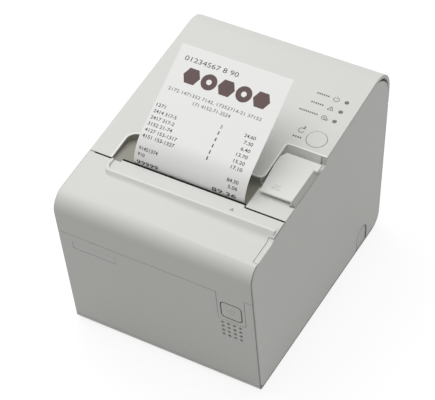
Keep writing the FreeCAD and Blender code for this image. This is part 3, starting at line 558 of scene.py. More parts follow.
@dataclass(frozen=True)
class Lens:
    """Clear dark lens of an unlit lamp."""

    name: str
    colour: Colour
    haze: float = 0.8 * MM
    relief: float = 0.003 * MM
    edge: float = 0.3 * MM

    def material(self) -> bpy.types.Material:
        """Make the material.

        Returns:
            Lens with a faint haze under its coat.
        """
        shader = Shader(self.name)
        haze = shader.noise(self.haze)
        soft, _ = shader.rounded(self.edge)
        colour = shader.tint(self.colour, 0.3, haze)
        return shader.surface(colour, 0.12 + haze * 0.1, shader.bump(haze, self.relief, soft),
                              Coat_Weight=0.6)


@dataclass(frozen=True)
class Ribbon:
    """Flat cable with its conductors side by side."""

    name: str
    colour: Colour = (0.72, 0.72, 0.69)
    core_colour: Colour = (0.50, 0.50, 0.49)
    core_scale: float = 320.0
    stain: float = 5 * MM
    relief: float = 0.05 * MM

    def material(self) -> bpy.types.Material:
        """Make the material.

        Returns:
            Ribbon with its conductors.
        """
        shader = Shader(self.name)
        cores = shader.bands("X", self.core_scale)
        stain = shader.noise(self.stain, 3.0)
        colour = shader.mix(cores * 0.5, self.colour, self.core_colour)
        return shader.surface(colour, 0.4 + (stain - 0.5) * 0.15, shader.bump(cores, self.relief))


CASE_COLOUR = (0.715, 0.715, 0.685)
CASE_ROUGHNESS = 0.48
FINE_LINES = (900.0, 5000.0, 5000.0)
FINISHES: dict[str, Finish] = {finish.name: finish for finish in (
    Moulding("case_plastic", CASE_COLOUR, CASE_ROUGHNESS),
    Moulding("plate_plastic", (0.70, 0.70, 0.675), 0.42),
    Moulding("dark_plastic", (0.030, 0.030, 0.033), 0.45),
    Moulding("gear_plastic", (0.80, 0.80, 0.74), 0.38, edge=0.15 * MM),
    Moulding("ceramic", (0.20, 0.13, 0.09), 0.22, grain_depth=0.002 * MM, edge=0.1 * MM),
    Rubber("foot_rubber", (0.030, 0.030, 0.031)),
    Rubber("platen_rubber", (0.045, 0.045, 0.048)),
    Metal("steel_sheet", (0.60, 0.61, 0.61), 0.38),
    Metal("bright_steel", (0.66, 0.66, 0.67), 0.25, FINE_LINES),
    Metal("connector_metal", (0.64, 0.64, 0.63), 0.3, FINE_LINES),
    Metal("heat_sink_metal", (0.70, 0.71, 0.72), 0.4, (40.0, 3000.0, 3000.0)),
    Painted("motor_steel", (0.045, 0.045, 0.048)),
    CircuitBoard("circuit_board"),
    Ribbon("ribbon"),
    Lens("lamp_green", (0.010, 0.020, 0.012)),
    Lens("lamp_red", (0.024, 0.009, 0.008)),
    ThermalPaper("paper"),
    CoreCard("core_card"),
)}
# Painted shade: flat near-black matte put into the slot, seams and gaps so that they look as dark as deep
# shade.
GAP_SHADE_BLACK = Moulding("painted_gap_shade", (0.010, 0.010, 0.010), 0.9, polish=0.0, gloss=0.1)
# Painted shade: the case's outer rims past 69.75 mm on both sides are darkened as the shadow gap round the
# side panels.
PANEL_GAP_SHADE_PLASTIC = ShadePaintedMoulding("panel_gap_shade_plastic", CASE_COLOUR, CASE_ROUGHNESS, paired=True,
                              low=(69.75 * MM, -1.0, -1.0), shade=(0.36, 0.36, 0.36))
NODE_FINISHES: dict[str, Finish] = {
    # Painted shade: the exit hollow in the lid is darkened below the top's slope, where shade falls round the
    # paper.
    "roll_cover": ShadePaintedMoulding(
        "lid_plastic_hollow_shade", CASE_COLOUR, CASE_ROUGHNESS, low=(-53.95 * MM, -55.2 * MM, 127.2 * MM),
        high=(42.2 * MM, -29.7 * MM, 140 * MM), slope=math.tan(math.radians(7.0)), height=136.05 * MM,
        shade=(0.42, 0.41, 0.36)),
    # Painted light and shade: the lever is coloured lighter than the case for the light on its top, and its
    # right skirt is darkened as painted shade.
    "open_lever": ShadePaintedMoulding(
        "lever_painted_light_and_shade", (0.79, 0.79, 0.755), CASE_ROUGHNESS, low=(67.25 * MM, -45 * MM, 100 * MM),
        high=(71 * MM, -10.6 * MM, 140 * MM), shade=(0.66, 0.66, 0.66)),
    # The exit strip in flat black paints the shade of the paper slot.
    "exit_strip": GAP_SHADE_BLACK,
    **dict.fromkeys(("front_panel", "hood", "bottom_case"), PANEL_GAP_SHADE_PLASTIC),
}
# Painted highlight: the lid's bead is coloured near white for the light caught on its rounded top.
BEAD_HIGHLIGHT = Moulding("bead_painted_highlight", (0.97, 0.97, 0.94), 0.42, edge=0.1 * MM)
# Painted highlight: the hood's rim bead is coloured lighter than the case for the light on its crest.
RIM_HIGHLIGHT = Moulding("rim_painted_highlight", (0.86, 0.86, 0.83), 0.42, edge=0.1 * MM)
# Painted shade: the dark strip in the knockout's groove stands in for the groove's shade.
GROOVE_SHADE = Moulding("painted_groove_shade", (0.20, 0.20, 0.195), 0.6)
THERMAL_INK = Ink("thermal_ink")
BROWN_INK = Ink("brown_ink", (0.075, 0.040, 0.038), (0.15, 0.09, 0.085))
PAD_INK = Ink("pad_ink", (0.06, 0.06, 0.06), (0.12, 0.12, 0.12))


class Wardrobe:
    """Makes each finish once and hands it out."""

    def __init__(self) -> None:
        """Start with nothing made."""
        self.made: dict[str, bpy.types.Material] = {}

    def get(self, finish: Finish) -> bpy.types.Material:
        """Hand out a finish.

        Args:
            finish: The finish that is wanted.

        Returns:
            Its material, made on first use.
        """
        if finish.name not in self.made:
            self.made[finish.name] = finish.material()
        return self.made[finish.name]

    def dress_solids(self) -> None:
        """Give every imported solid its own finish, or else that of its slot in the record."""
        for row in frame["record"]["subparts"]:
            mesh = frame["nodes"][row["node"]].data
            mesh.materials.clear()
            finish = NODE_FINISHES.get(row["node"], FINISHES[row["material_slot"]])
            mesh.materials.append(self.get(finish))
            log.info("dressed %s as %s", row["node"], finish.name)


WARDROBE = Wardrobe()


@dataclass(frozen=True)
class Face:
    """A flat face of the printer, in mm and degrees: a point on it and the turn about X that it has."""

    origin: Triple
    tilt: float

    def place(self) -> Matrix:
        """Matrix from the face's own x, y and normal to the printer, in millimetres."""
        return Matrix.Translation(self.origin) @ Matrix.Rotation(math.radians(self.tilt), 4, "X")

    def along(self, level: float) -> float:
        """Find a place up the face.

        Args:
            level: The place along Y, or along Z where the face stands upright.

        Returns:
            Its distance up the face from the face's origin.
        """
        turn = math.radians(self.tilt)
        if abs(math.cos(turn)) > abs(math.sin(turn)):
            return (level - self.origin[1]) / math.cos(turn)
        return (level - self.origin[2]) / math.sin(turn)

    def at(self, x: float, level: float) -> Matrix:
        """Matrix of a drawing that has its origin at this place on the face."""
        return self.place() @ Matrix.Translation((x, self.along(level), 0.0))


TOP = Face((0.0, 0.0, 136.59), 7.0)
FRONT = Face((0.0, -83.14, 0.0), 98.5)
LEVER_TOP = Face((0.0, -10.5, 135.301), 3.0)
TRAY = Face((0.0, -60.0, 129.18), 2.47)
LIP_CREST = Face((0.0, 0.0, 130.33), 0.0)


class Layer(NamedTuple):
    """Heights of a plate's underside and top over its face, and the radius of its top edge, in mm."""

    low: float
    high: float
    round_edge: float = 0.0


class Block(NamedTuple):
    """A box on a face: its x, its y and its heights, in mm."""

    x: Sequence[float]
    y: Sequence[float]
    layer: Layer


class Stretch(NamedTuple):
    """Part of a bead's path: a straight run, then a bend to the left, or to the right where negative."""

    run: float
    angle: float = 0.0
    radius: float = 0.0


FILM = Layer(0.0, 0.03)


def pick(geometry: Iterable[Any], kind: type) -> list[Any]:
    """Parts of one kind in an operator's result."""
    return [part for part in geometry if isinstance(part, kind)]


class Workpiece:
    """A mesh in the making, drawn in millimetres on the faces of the printer."""

    merge_distance: float = 0.0005 * MM
    crease: float = math.radians(35.0)

    def __init__(self, name: str) -> None:
        """Start an empty mesh.

        Args:
            name: Name of the piece.
        """
        self.name = name
        self.mesh = bmesh.new()

    @contextmanager
    def on(self, place: Matrix) -> Iterator[None]:
        """Draw on a face: what is added inside the block is moved there at its end.

        Args:
            place: Matrix from the drawing to the printer, in millimetres.
        """
        known = set(self.mesh.verts)
        yield
        fresh = [vert for vert in self.mesh.verts if vert not in known]
        bmesh.ops.transform(self.mesh, matrix=place, verts=fresh)

    def _raise(self, faces: list[bmesh.types.BMFace], layer: Layer) -> None:
        """Draw flat faces up into a closed solid.

        Args:
            faces: Faces at the height of the layer's underside.
            layer: Its heights, and the radius of its top edge.
        """
        made = bmesh.ops.extrude_face_region(self.mesh, geom=faces)["geom"]
        rise = (0.0, 0.0, layer.high - layer.low)
        bmesh.ops.translate(self.mesh, verts=pick(made, bmesh.types.BMVert), vec=rise)
        if layer.round_edge:
            rim = {edge for face in pick(made, bmesh.types.BMFace) for edge in face.edges}
            bmesh.ops.bevel(self.mesh, geom=list(rim), offset=layer.round_edge, segments=3, profile=0.5,
                            affect="EDGES", material=-1)

    def _flat(self, corners: Iterable[Point], height: float) -> bmesh.types.BMFace:
        """One flat face with an outline of a few corners."""
        return self.mesh.faces.new([self.mesh.verts.new((x, y, height)) for x, y in corners])

    def plate(self, corners: Iterable[Point], layer: Layer) -> None:
        """Flat plate with an outline of a few corners."""
        self._raise([self._flat(corners, layer.low)], layer)

    def block(self, x: Sequence[float], y: Sequence[float], layer: Layer) -> None:
        """Box between two x, two y and a layer's heights."""
        self.plate([(x[0], y[0]), (x[1], y[0]), (x[1], y[1]), (x[0], y[1])], layer)

    def triangle(self, corners: Iterable[Point], width: float, layer: Layer) -> None:
        """Raised line of one width round a triangle.

        Args:
            corners: Outer corners, in order.
            width: Width of the line.
            layer: Its heights.
        """
        face = self._flat(corners, layer.low)
        face.normal_update()
        rim = bmesh.ops.inset_region(self.mesh, faces=[face], thickness=width, use_boundary=True,
                                     use_even_offset=True)["faces"]
        bmesh.ops.delete(self.mesh, geom=[face], context="FACES_ONLY")
        self._raise(rim, layer)

    def arc(self, centre: Point, inner: float, outer: float, layer: Layer,
            start: float = 0.0, sweep: float = 360.0, steps: int = 40) -> None:
        """Ring, or a part of one, with a square section.

        Args:
            centre: Middle of the ring.
            inner: Inner radius.
            outer: Outer radius.
            layer: Its heights.
            start: Angle at which it begins, in degrees.
            sweep: Angle that it covers, in degrees.
            steps: Number of facets.
        """
        direction = Vector((math.cos(math.radians(start)), math.sin(math.radians(start)), 0.0))
        middle = Vector((*centre, 0.0))
        rims = ((inner, layer.low), (outer, layer.low), (outer, layer.high), (inner, layer.high))
        section = self.mesh.faces.new([
            self.mesh.verts.new(middle + direction * radius + Vector((0.0, 0.0, height)))
            for radius, height in rims])
        whole = sweep >= 360.0
        geom = list(section.edges) if whole else [section]
        if whole:
            bmesh.ops.delete(self.mesh, geom=[section], context="FACES_ONLY")
        bmesh.ops.spin(self.mesh, geom=geom, cent=middle, axis=(0.0, 0.0, 1.0), angle=math.radians(sweep),
                       steps=steps, use_merge=whole)

    def disc(self, centre: Point, radius: float, layer: Layer, sides: int = 32) -> None:
        """Round plate.

        Args:
            centre: Middle of the plate.
            radius: Its radius.
            layer: Its heights.
            sides: Number of facets.
        """
        ring = bmesh.ops.create_circle(self.mesh, cap_ends=True, segments=sides, radius=radius,
                                       matrix=Matrix.Translation((*centre, layer.low)))["verts"]
        self._raise(list({face for vert in ring for face in vert.link_faces}), layer)

    def broken_ring(self, ring: Point, bar: Point, bar_half: float, layer: Layer,
                    start: float = 125.0, sweep: float = 290.0) -> None:
        """Ring about the drawing's origin with a bar in the gap at its top.

        Args:
            ring: Inner and outer radius.
            bar: Where the bar begins and ends above the origin.
            bar_half: Half the bar's width.
            layer: Heights of both.
            start: Angle at which the ring begins, in degrees.
            sweep: Angle that it covers, in degrees.
        """
        self.arc((0.0, 0.0), ring[0], ring[1], layer, start, sweep)
        self.block((-bar_half, bar_half), bar, layer)

    def surround(self, half: Point, width: float, bend: float, layer: Layer, steps: int = 8) -> None:
        """Frame of one width round an opening with round corners, about the drawing's origin.

        Args:
            half: Half the opening's width and height.
            width: Width of the frame.
            bend: Radius of the opening's corners.
            layer: Its heights.
            steps: Facets of each corner.
        """
        across, up = half[0] - bend, half[1] - bend
        for side in (-1.0, 1.0):
            self.block(sorted((side * half[0], side * (half[0] + width))), (-up, up), layer)
            self.block((-across, across), sorted((side * half[1], side * (half[1] + width))), layer)
        for start, corner in ((0.0, (across, up)), (90.0, (-across, up)), (180.0, (-across, -up)),
                              (270.0, (across, -up))):
            self.arc(corner, bend, bend + width, layer, start, 90.0, steps)

    def figures(self, text: str, at: Point, width: float, height: float, layer: Layer,
                bold: float = 0.0) -> None:
        """Plain figures as thin raised plates.

        Args:
            text: The figures.
            at: Lower left corner of the line.
            width: Length of the line.
            height: Height of the figures.
            layer: Heights of the plates.
            bold: Weight added to the strokes, as a share of the type's size.
        """
        curve = bpy.data.curves.new("figures", "FONT")
        curve.body, curve.resolution_u, curve.offset = text, 3, bold
        holder = bpy.data.objects.new("figures", curve)
        flat = bpy.data.meshes.new_from_object(holder)
        left, right = (end(vert.co.x for vert in flat.vertices) for end in (min, max))
        foot, head = (end(vert.co.y for vert in flat.vertices) for end in (min, max))
        size = Matrix.Diagonal((width / (right - left), height / (head - foot), 1.0, 1.0))
        flat.transform(Matrix.Translation((*at, layer.low)) @ size @ Matrix.Translation((-left, -foot, 0.0)))
        known = set(self.mesh.faces)
        self.mesh.from_mesh(flat)
        self._raise([face for face in self.mesh.faces if face not in known], layer)
        bpy.data.objects.remove(holder)
        bpy.data.meshes.remove(flat)
        bpy.data.curves.remove(curve)

    def coil(self, mean: float, wire: float, pitch: float, turns: float, steps: int = 24) -> None:
        """Coil spring about Z that starts at the drawing's origin plane.

        Args:
            mean: Radius of the coil to the middle of the wire.
            wire: Radius of the wire.
            pitch: Rise of each turn.
            turns: Number of turns.
            steps: Facets of one turn.
        """
        upright = Matrix.Translation((mean, 0.0, 0.0)) @ Matrix.Rotation(QUARTER, 4, "X")
        ring = bmesh.ops.create_circle(self.mesh, cap_ends=True, segments=8, radius=wire,
                                       matrix=upright)["verts"]
        end = list({face for vert in ring for face in vert.link_faces})
        bmesh.ops.spin(self.mesh, geom=end, cent=(0.0, 0.0, 0.0), axis=(0.0, 0.0, 1.0),
                       dvec=(0.0, 0.0, pitch / steps), angle=math.tau * turns, steps=round(steps * turns))

    def draw_bead(self, at: Point, heading: float, radius: float, path: Iterable[Stretch]) -> None:
        """Round bead along a path on a level drawing, closed at both ends.

        Args:
            at: Where the path begins.
            heading: Direction in which it sets out, in degrees from X.
            radius: Radius of the bead's section.
            path: Its stretches, in order.
        """
        place, turn = Vector((*at, 0.0)), math.radians(heading)
        upright = Matrix.Rotation(turn, 4, "Z") @ Matrix.Rotation(QUARTER, 4, "Y")
        ring = bmesh.ops.create_circle(self.mesh, cap_ends=False, segments=12, radius=radius,
                                       matrix=Matrix.Translation(place) @ upright)["verts"]
        section = list({edge for vert in ring for edge in vert.link_edges})
        for run, angle, bend in path:
            ahead = Vector((math.cos(turn), math.sin(turn), 0.0)) * run
            made = bmesh.ops.extrude_edge_only(self.mesh, edges=section)["geom"]
            bmesh.ops.translate(self.mesh, vec=ahead, verts=pick(made, bmesh.types.BMVert))
            place = place + ahead
            if angle:
                side = Vector((-math.sin(turn), math.cos(turn), 0.0)) * math.copysign(bend, angle)
                made = bmesh.ops.spin(self.mesh, geom=pick(made, bmesh.types.BMEdge), cent=place + side,
                                      axis=(0.0, 0.0, 1.0), angle=math.radians(angle), steps=10)["geom_last"]
                place = place + side - Matrix.Rotation(math.radians(angle), 3, "Z") @ side
                turn += math.radians(angle)
            section = pick(made, bmesh.types.BMEdge)
        bmesh.ops.holes_fill(self.mesh, edges=[edge for edge in self.mesh.edges if edge.is_boundary], sides=0)

    def put(self, body: Body, slot: Slot, finish: Finish | None = None) -> bpy.types.Object:
        """Turn the mesh into a dressed object that rides on a body.

        Args:
            body: Body that carries the piece.
            slot: Slot of the record whose finish it takes when none is given.
            finish: Its own finish, where the slot's is not the right one.

        Returns:
            The new object, at the origin with its place in its mesh.
        """
        bmesh.ops.scale(self.mesh, vec=(MM, MM, MM), verts=self.mesh.verts)
        bmesh.ops.remove_doubles(self.mesh, verts=self.mesh.verts, dist=self.merge_distance)
        bmesh.ops.recalc_face_normals(self.mesh, faces=self.mesh.faces)
        data = bpy.data.meshes.new(self.name)
        self.mesh.to_mesh(data)
        self.mesh.free()
        data.shade_smooth()
        data.set_sharp_from_angle(angle=self.crease)
        data.materials.append(WARDROBE.get(finish or FINISHES[slot.value]))
        piece = bpy.data.objects.new(self.name, data)
        bpy.context.scene.collection.objects.link(piece)
        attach(piece, body.value)
        log.info("made %s on %s with %d faces", self.name, body.value, len(data.polygons))
        return piece


@dataclass(frozen=True)
class PrintedLine:
    """One line of figures on the receipt: its height up the sheet and (text, left, right) of each entry."""

    foot: float
    entries: tuple[tuple[str, float, float], ...]
    height: float = 2.4
    bold: float = 0.012


@dataclass
class ReceiptPrint:
    """Print on the receipt, line by line up the bent sheet, in plain figures and shapes."""

    slot_y: float = -51.6
    turn_z: float = 127.02
    turn_radius: float = 24.2
    turn_angle: float = 59.0
    film: Layer = FILM
    band_foot: float = 63.0
    band_height: float = 10.6
    band_left: float = -30.5
    band_right: float = 31.8
    band_count: int = 5
    ring_shares: Point = (0.35, 1.04)
    plate_shares: Point = (0.48, 0.26)
    lines: tuple[PrintedLine, ...] = (
        PrintedLine(77.4, (("01234567 8 90", -34.0, 4.5),), 3.3, 0.0),
        PrintedLine(55.0, (("2172 1471352 7142, 17352714-21 37152", -35.5, 31.0),), 2.5, 0.0),
        PrintedLine(50.6, (("171 4152-71-3524", -15.5, 11.0),), 2.4, 0.0),
        PrintedLine(42.4, (("1271", -38.0, -31.5), ("3", 8.0, 9.2), ("24.60", 25.0, 32.8))),
        PrintedLine(38.0, (("2414 317-5", -38.0, -21.5), ("1", 8.2, 9.0), ("7.30", 26.5, 32.9))),
        PrintedLine(33.5, (("2417 317-2", -38.0, -21.0), ("1", 8.2, 9.0), ("6.40", 26.5, 33.0))),
        PrintedLine(29.1, (("3152 21-74", -38.0, -20.5), ("1", 8.2, 9.0), ("13.70", 25.2, 33.1))),
        PrintedLine(24.7, (("4127 153-1317", -38.0, -15.0), ("1", 8.2, 9.0), ("15.20", 25.3, 33.2))),
        PrintedLine(20.5, (("4151 153-1327", -38.0, -15.0), ("1", 8.2, 9.0), ("17.10", 25.4, 33.3))),
        PrintedLine(12.3, (("91451374", -37.5, -24.0), ("84.30", 25.5, 33.6))),
        PrintedLine(8.2, (("910", -37.5, -32.5), ("5.06", 27.2, 33.8))),
        PrintedLine(2.6, (("99999", -37.5, -22.0), ("89.36", 16.5, 33.8)), 2.7),
    )

    def face(self, up: float) -> Matrix:
        """Find the sheet's front.

        Args:
            up: Distance up the sheet from the start of its bend.

        Returns:
            The matrix from a drawing to the sheet's front there.
        """
        bend = math.radians(self.turn_angle)
        turn = min(max(up / self.turn_radius, 0.0), bend)
        past = up - turn * self.turn_radius
        y = self.slot_y + self.turn_radius * (1 - math.cos(turn)) + past * math.sin(turn)
        z = self.turn_z + self.turn_radius * math.sin(turn) + past * math.cos(turn)
        return Face((0.0, y, z), 90.0 - math.degrees(turn)).place()

    def figures(self) -> None:
        """Lines of plain figures, each flat on the sheet where it stands."""
        ink = Workpiece("receipt_figures")
        for line in self.lines:
            half = line.height / 2
            with ink.on(self.face(line.foot + half)):
                for text, left, right in line.entries:
                    ink.figures(text, (left, -half), right - left, line.height, self.film, line.bold)
        ink.put(Body.LID, Slot.DARK, THERMAL_INK)

    def band(self) -> None:
        """Heading band of plain six-sided plates and rings."""
        ink = Workpiece("receipt_band")
        half = self.band_height / 2
        pitch = (self.band_right - self.band_left) / self.band_count
        inner, outer = (half * share for share in self.ring_shares)
        reach, shoulder = (pitch * share for share in self.plate_shares)
        with ink.on(self.face(self.band_foot + half)):
            for index in range(self.band_count):
                x = self.band_left + pitch * (index + 0.5)
                if index % 2:
                    ink.arc((x, 0.0), inner, outer, self.film)
                else:
                    ink.plate([(x - reach, 0.0), (x - shoulder, -half), (x + shoulder, -half),
                               (x + reach, 0.0), (x + shoulder, half), (x - shoulder, half)], self.film)
        ink.put(Body.LID, Slot.DARK, BROWN_INK)

    def build(self) -> None:
        """Make all the print."""
        self.figures()
        self.band()


@dataclass
class ControlMarks:
    """Printed signs beside the lamps and the feed button on the lid, each drawn about its own middle."""

    film: Layer = FILM
    stroke: float = 0.42
    power_at: Point = (53.1, 50.9)
    power_radius: float = 2.1
    power_bar: Point = (0.3, 2.6)
    error_at: Point = (53.3, 42.2)
    error_corners: Outline = ((-2.3, -1.8), (2.3, -1.8), (0.0, 2.2))
    error_bar: Point = (-0.5, 0.7)
    error_dot: Point = (0.0, -1.0)
    paper_at: Point = (52.8, 32.9)
    roll_centre: Point = (0.0, 0.2)
    roll_radius: float = 1.9
    core_radii: Point = (0.35, 0.7)
    tail_right: float = 2.9
    tail_y: Point = (-1.7, 0.4)
    feed_at: Point = (44.8, 17.2)
    feed_radius: float = 2.2
    feed_start: float = 60.0
    feed_sweep: float = 290.0
    wedge: Outline = ((-0.1, 0.0), (2.1, 0.0), (1.0, 1.2))
    wedge_rises: Point = (1.5, 2.9)
    caption_height: float = 1.25
    caption_pitch: float = 1.5
    caption_share: float = 0.62
    captions: tuple[Triple, ...] = (
        (39.1, 48.4, 50.7), (39.0, 48.3, 42.0), (34.9, 48.4, 33.1), (41.6, 48.2, 10.3))
    ink: Workpiece = field(default_factory=lambda: Workpiece("lid_signs"))

    def power_sign(self) -> None:
        """Broken ring with a bar in its gap."""
        ring = (self.power_radius - self.stroke, self.power_radius)
        with self.ink.on(TOP.at(*self.power_at)):
            self.ink.broken_ring(ring, self.power_bar, self.stroke / 2, self.film)

    def error_sign(self) -> None:
        """Triangle with a stroke and a dot."""
        half = self.stroke / 2
        with self.ink.on(TOP.at(*self.error_at)):
            self.ink.triangle(self.error_corners, self.stroke, self.film)
            self.ink.block((-half, half), self.error_bar, self.film)
            self.ink.disc(self.error_dot, half, self.film, sides=12)

    def paper_sign(self) -> None:
        """Roll with its loose end."""
        foot, end = self.tail_y
        with self.ink.on(TOP.at(*self.paper_at)):
            self.ink.arc(self.roll_centre, self.roll_radius - self.stroke, self.roll_radius, self.film)
            self.ink.arc(self.roll_centre, *self.core_radii, self.film, steps=16)
            self.ink.block((0.0, self.tail_right), (foot, foot + self.stroke), self.film)
            self.ink.block((self.tail_right - self.stroke, self.tail_right), (foot, end), self.film)

    def feed_sign(self) -> None:
        """Roll with two wedges that point out of it."""
        inner = self.feed_radius - self.stroke
        with self.ink.on(TOP.at(*self.feed_at)):
            self.ink.arc((0.0, 0.0), inner, self.feed_radius, self.film, self.feed_start, self.feed_sweep)
            for rise in self.wedge_rises:
                self.ink.plate([(x, y + rise) for x, y in self.wedge], self.film)

    def caption_rows(self) -> None:
        """Row of plain ticks beside each sign."""
        for left, right, foot in self.captions:
            count = round((right - left) / self.caption_pitch)
            pitch = (right - left) / count
            with self.ink.on(TOP.at(left, foot)):
                for x in (pitch * index for index in range(count)):
                    self.ink.block((x, x + pitch * self.caption_share), (0.0, self.caption_height), self.film)

    def build(self) -> None:
        """Make all the signs as one printed piece."""
        self.power_sign()
        self.error_sign()
        self.paper_sign()
        self.feed_sign()
        self.caption_rows()
        self.ink.put(Body.LID, Slot.DARK, PAD_INK)


@dataclass
class LidTrim:
    """Thin raised bead round the paper exit and the lever's bay, coloured near white as a painted highlight.
    """

    radius: float = 0.8
    sink: float = 0.62
    left: float = -54.6
    exit_front: float = -54.6
    exit_rear: float = -29.2
    bay_left: float = 41.1
    bay_rear: float = 3.3
    right: float = 69.4
    left_bend: float = 7.8
    exit_bend: float = 3.2
    bay_bend: float = 2.8

    def build(self) -> None:
        """Draw the bead from the left end of the exit to the right edge of the lid."""
        bead = Workpiece("lid_bead")
        start, front, rear = (TOP.along(y) for y in (self.exit_front, self.exit_rear, self.bay_rear))
        with bead.on(TOP.place() @ Matrix.Translation((0.0, 0.0, -self.sink))):
            bead.draw_bead((self.left, start), 90.0, self.radius, (
                Stretch(front - start - self.left_bend, -90.0, self.left_bend),
                Stretch(self.bay_left - self.left - self.left_bend - self.exit_bend, 90.0, self.exit_bend),
                Stretch(rear - front - self.exit_bend - self.bay_bend, -90.0, self.bay_bend),
                Stretch(self.right - self.bay_left - self.bay_bend)))
        bead.put(Body.LID, Slot.CASE, BEAD_HIGHLIGHT)


@dataclass
class ExitTrim:
    """Round rim on the hood's lip, coloured lighter as a painted highlight; a black strip at the slot's front
    edge and black blocks under the seam behind the hood, as painted shade of the slot and the seam.
    """

    rim_radius: float = 0.78
    rim_sink: float = 0.42
    rim_x: Point = (-52.4, 68.2)
    rim_y: Point = (-66.25, -56.0)
    rim_bend: float = 5.8
    edge_x: Point = (-46.8, 41.2)
    edge_y: Point = (-53.8, -53.4)
    edge: Layer = Layer(-0.7, -0.52, 0.05)
    seam_y: Point = (-56.05, -54.97)
    seam_rows: tuple[tuple[Point, float], ...] = (((-66.2, -53.4), -0.53), ((42.4, 69.6), -0.92))
    seam_depth: float = 1.2

    def rim(self) -> None:
        """Bead along the crest of the lip, round its left corner, coloured lighter as a painted highlight."""
        bead = Workpiece("hood_rim")
        (left, right), (front, rear) = self.rim_x, self.rim_y
        with bead.on(LIP_CREST.place() @ Matrix.Translation((0.0, 0.0, -self.rim_sink))):
            bead.draw_bead((left, rear), -90.0, self.rim_radius, (
                Stretch(rear - front - self.rim_bend, 90.0, self.rim_bend),
                Stretch(right - left - self.rim_bend)))
        bead.put(Body.HOOD, Slot.CASE, RIM_HIGHLIGHT)

    def gap_shades(self) -> None:
        """Black strip at the slot's front edge and black blocks under the seam, as painted shade of the slot
        and the seam.
        """
        dark = Workpiece("hood_gap_shades")
        with dark.on(TOP.place()):
            dark.block(self.edge_x, [TOP.along(y) for y in self.edge_y], self.edge)
        with dark.on(LIP_CREST.place()):
            for span, height in self.seam_rows:
                dark.block(span, self.seam_y, Layer(height - self.seam_depth, height))
        dark.put(Body.HOOD, Slot.DARK, GAP_SHADE_BLACK)

    def build(self) -> None:
        """Make all of them."""
        self.rim()
        self.gap_shades()


@dataclass
class SideTrim:
    """Dark strip in the groove round the knockout in the right side, as painted shade of the groove."""

    side_x: float = 70.0
    groove_y: Point = (62.15, 78.95)
    groove_width: float = 0.8
    groove_foot: float = 3.0
    groove_bend: float = 8.2
    groove_top: float = 19.65
    groove_shade_strip: Layer = Layer(-0.6, -0.06)
    bend_steps: int = 14

    def build(self) -> None:
        """Draw the dark strip up both sides of the knockout, round the bends and over the top."""
        groove_shade_strip = Workpiece("knockout_groove_shade")
        turn = Matrix.Rotation(QUARTER, 4, "Z") @ Matrix.Rotation(QUARTER, 4, "X")
        front, rear = self.groove_y
        spring, inner = self.groove_top - self.groove_bend, self.groove_bend - self.groove_width
        with groove_shade_strip.on(Matrix.Translation((self.side_x, 0.0, 0.0)) @ turn):
            for edge, inward, start in ((front, 1.0, 90.0), (rear, -1.0, 0.0)):
                upright = sorted((edge, edge + inward * self.groove_width))
                groove_shade_strip.block(upright, (self.groove_foot, spring), self.groove_shade_strip)
                groove_shade_strip.arc((edge + inward * self.groove_bend, spring), inner, self.groove_bend, self.groove_shade_strip,
                        start, 90.0, self.bend_steps)
            groove_shade_strip.block((front + self.groove_bend, rear - self.groove_bend),
                      (self.groove_top - self.groove_width, self.groove_top), self.groove_shade_strip)
        groove_shade_strip.put(Body.CASE, Slot.CASE, GROOVE_SHADE)


@dataclass
class SmallMarks:
    """Small signs on the hood, the lever and the power button, and a black lining in the button's gap as
    painted shade.
    """

    film: Layer = FILM
    tray_at: Point = (36.0, -60.6)
    tray_corners: Outline = ((-1.3, -1.0), (1.3, -1.0), (0.0, 1.3))
    tray_stroke: float = 0.35
    lever_at: Point = (53.3, -33.7)
    lever_emboss: Layer = Layer(-0.05, 0.14, 0.05)
    base_line: Outline = ((-3.0, -2.4), (3.0, -2.4), (3.0, -1.7), (-3.0, -1.7))
    tilted_line: Outline = ((-3.0, -1.2), (-2.6, -1.7), (2.6, 1.4), (2.2, 1.9))
    wedge: Outline = ((-1.9, 0.9), (-0.3, 0.9), (-1.1, 2.3))
    power_at: Point = (54.05, 77.95)
    power_emboss: Layer = Layer(-0.1, 0.14, 0.05)
    power_ring: Point = (1.75, 2.3)
    power_bar: Point = (0.4, 2.9)
    power_bar_half: float = 0.28
    gap_half: Point = (7.12, 7.42)
    gap_bend: float = 2.6
    gap_width: float = 0.5
    gap_shade_layer: Layer = Layer(-0.3, 0.03)

    def tray_mark(self) -> None:
        """Small triangle that shows the edge of the paper."""
        ink = Workpiece("tray_mark")
        with ink.on(TRAY.at(*self.tray_at)):
            ink.triangle(self.tray_corners, self.tray_stroke, self.film)
        ink.put(Body.HOOD, Slot.DARK, PAD_INK)

    def lever_mark(self) -> None:
        """Raised sign of an opening lid: a base line, a tilted line and a wedge."""
        mark = Workpiece("lever_mark")
        with mark.on(LEVER_TOP.at(*self.lever_at)):
            for corners in (self.base_line, self.tilted_line, self.wedge):
                mark.plate(corners, self.lever_emboss)
        mark.put(Body.LEVER, Slot.CASE)

    def power_mark(self) -> None:
        """Raised broken ring with a bar on the power button."""
        mark = Workpiece("power_mark")
        with mark.on(FRONT.at(*self.power_at)):
            mark.broken_ring(self.power_ring, self.power_bar, self.power_bar_half, self.power_emboss)
        mark.put(Body.POWER, Slot.CASE)

    def power_gap_shade(self) -> None:
        """Black lining of the gap round the power button, as painted shade of the gap."""
        lining = Workpiece("power_gap_shade")
        with lining.on(FRONT.at(*self.power_at)):
            lining.surround(self.gap_half, self.gap_width, self.gap_bend, self.gap_shade_layer)
        lining.put(Body.HOOD, Slot.DARK, GAP_SHADE_BLACK)

    def build(self) -> None:
        """Make all of them."""
        self.tray_mark()
        self.lever_mark()
        self.power_mark()
        self.power_gap_shade()


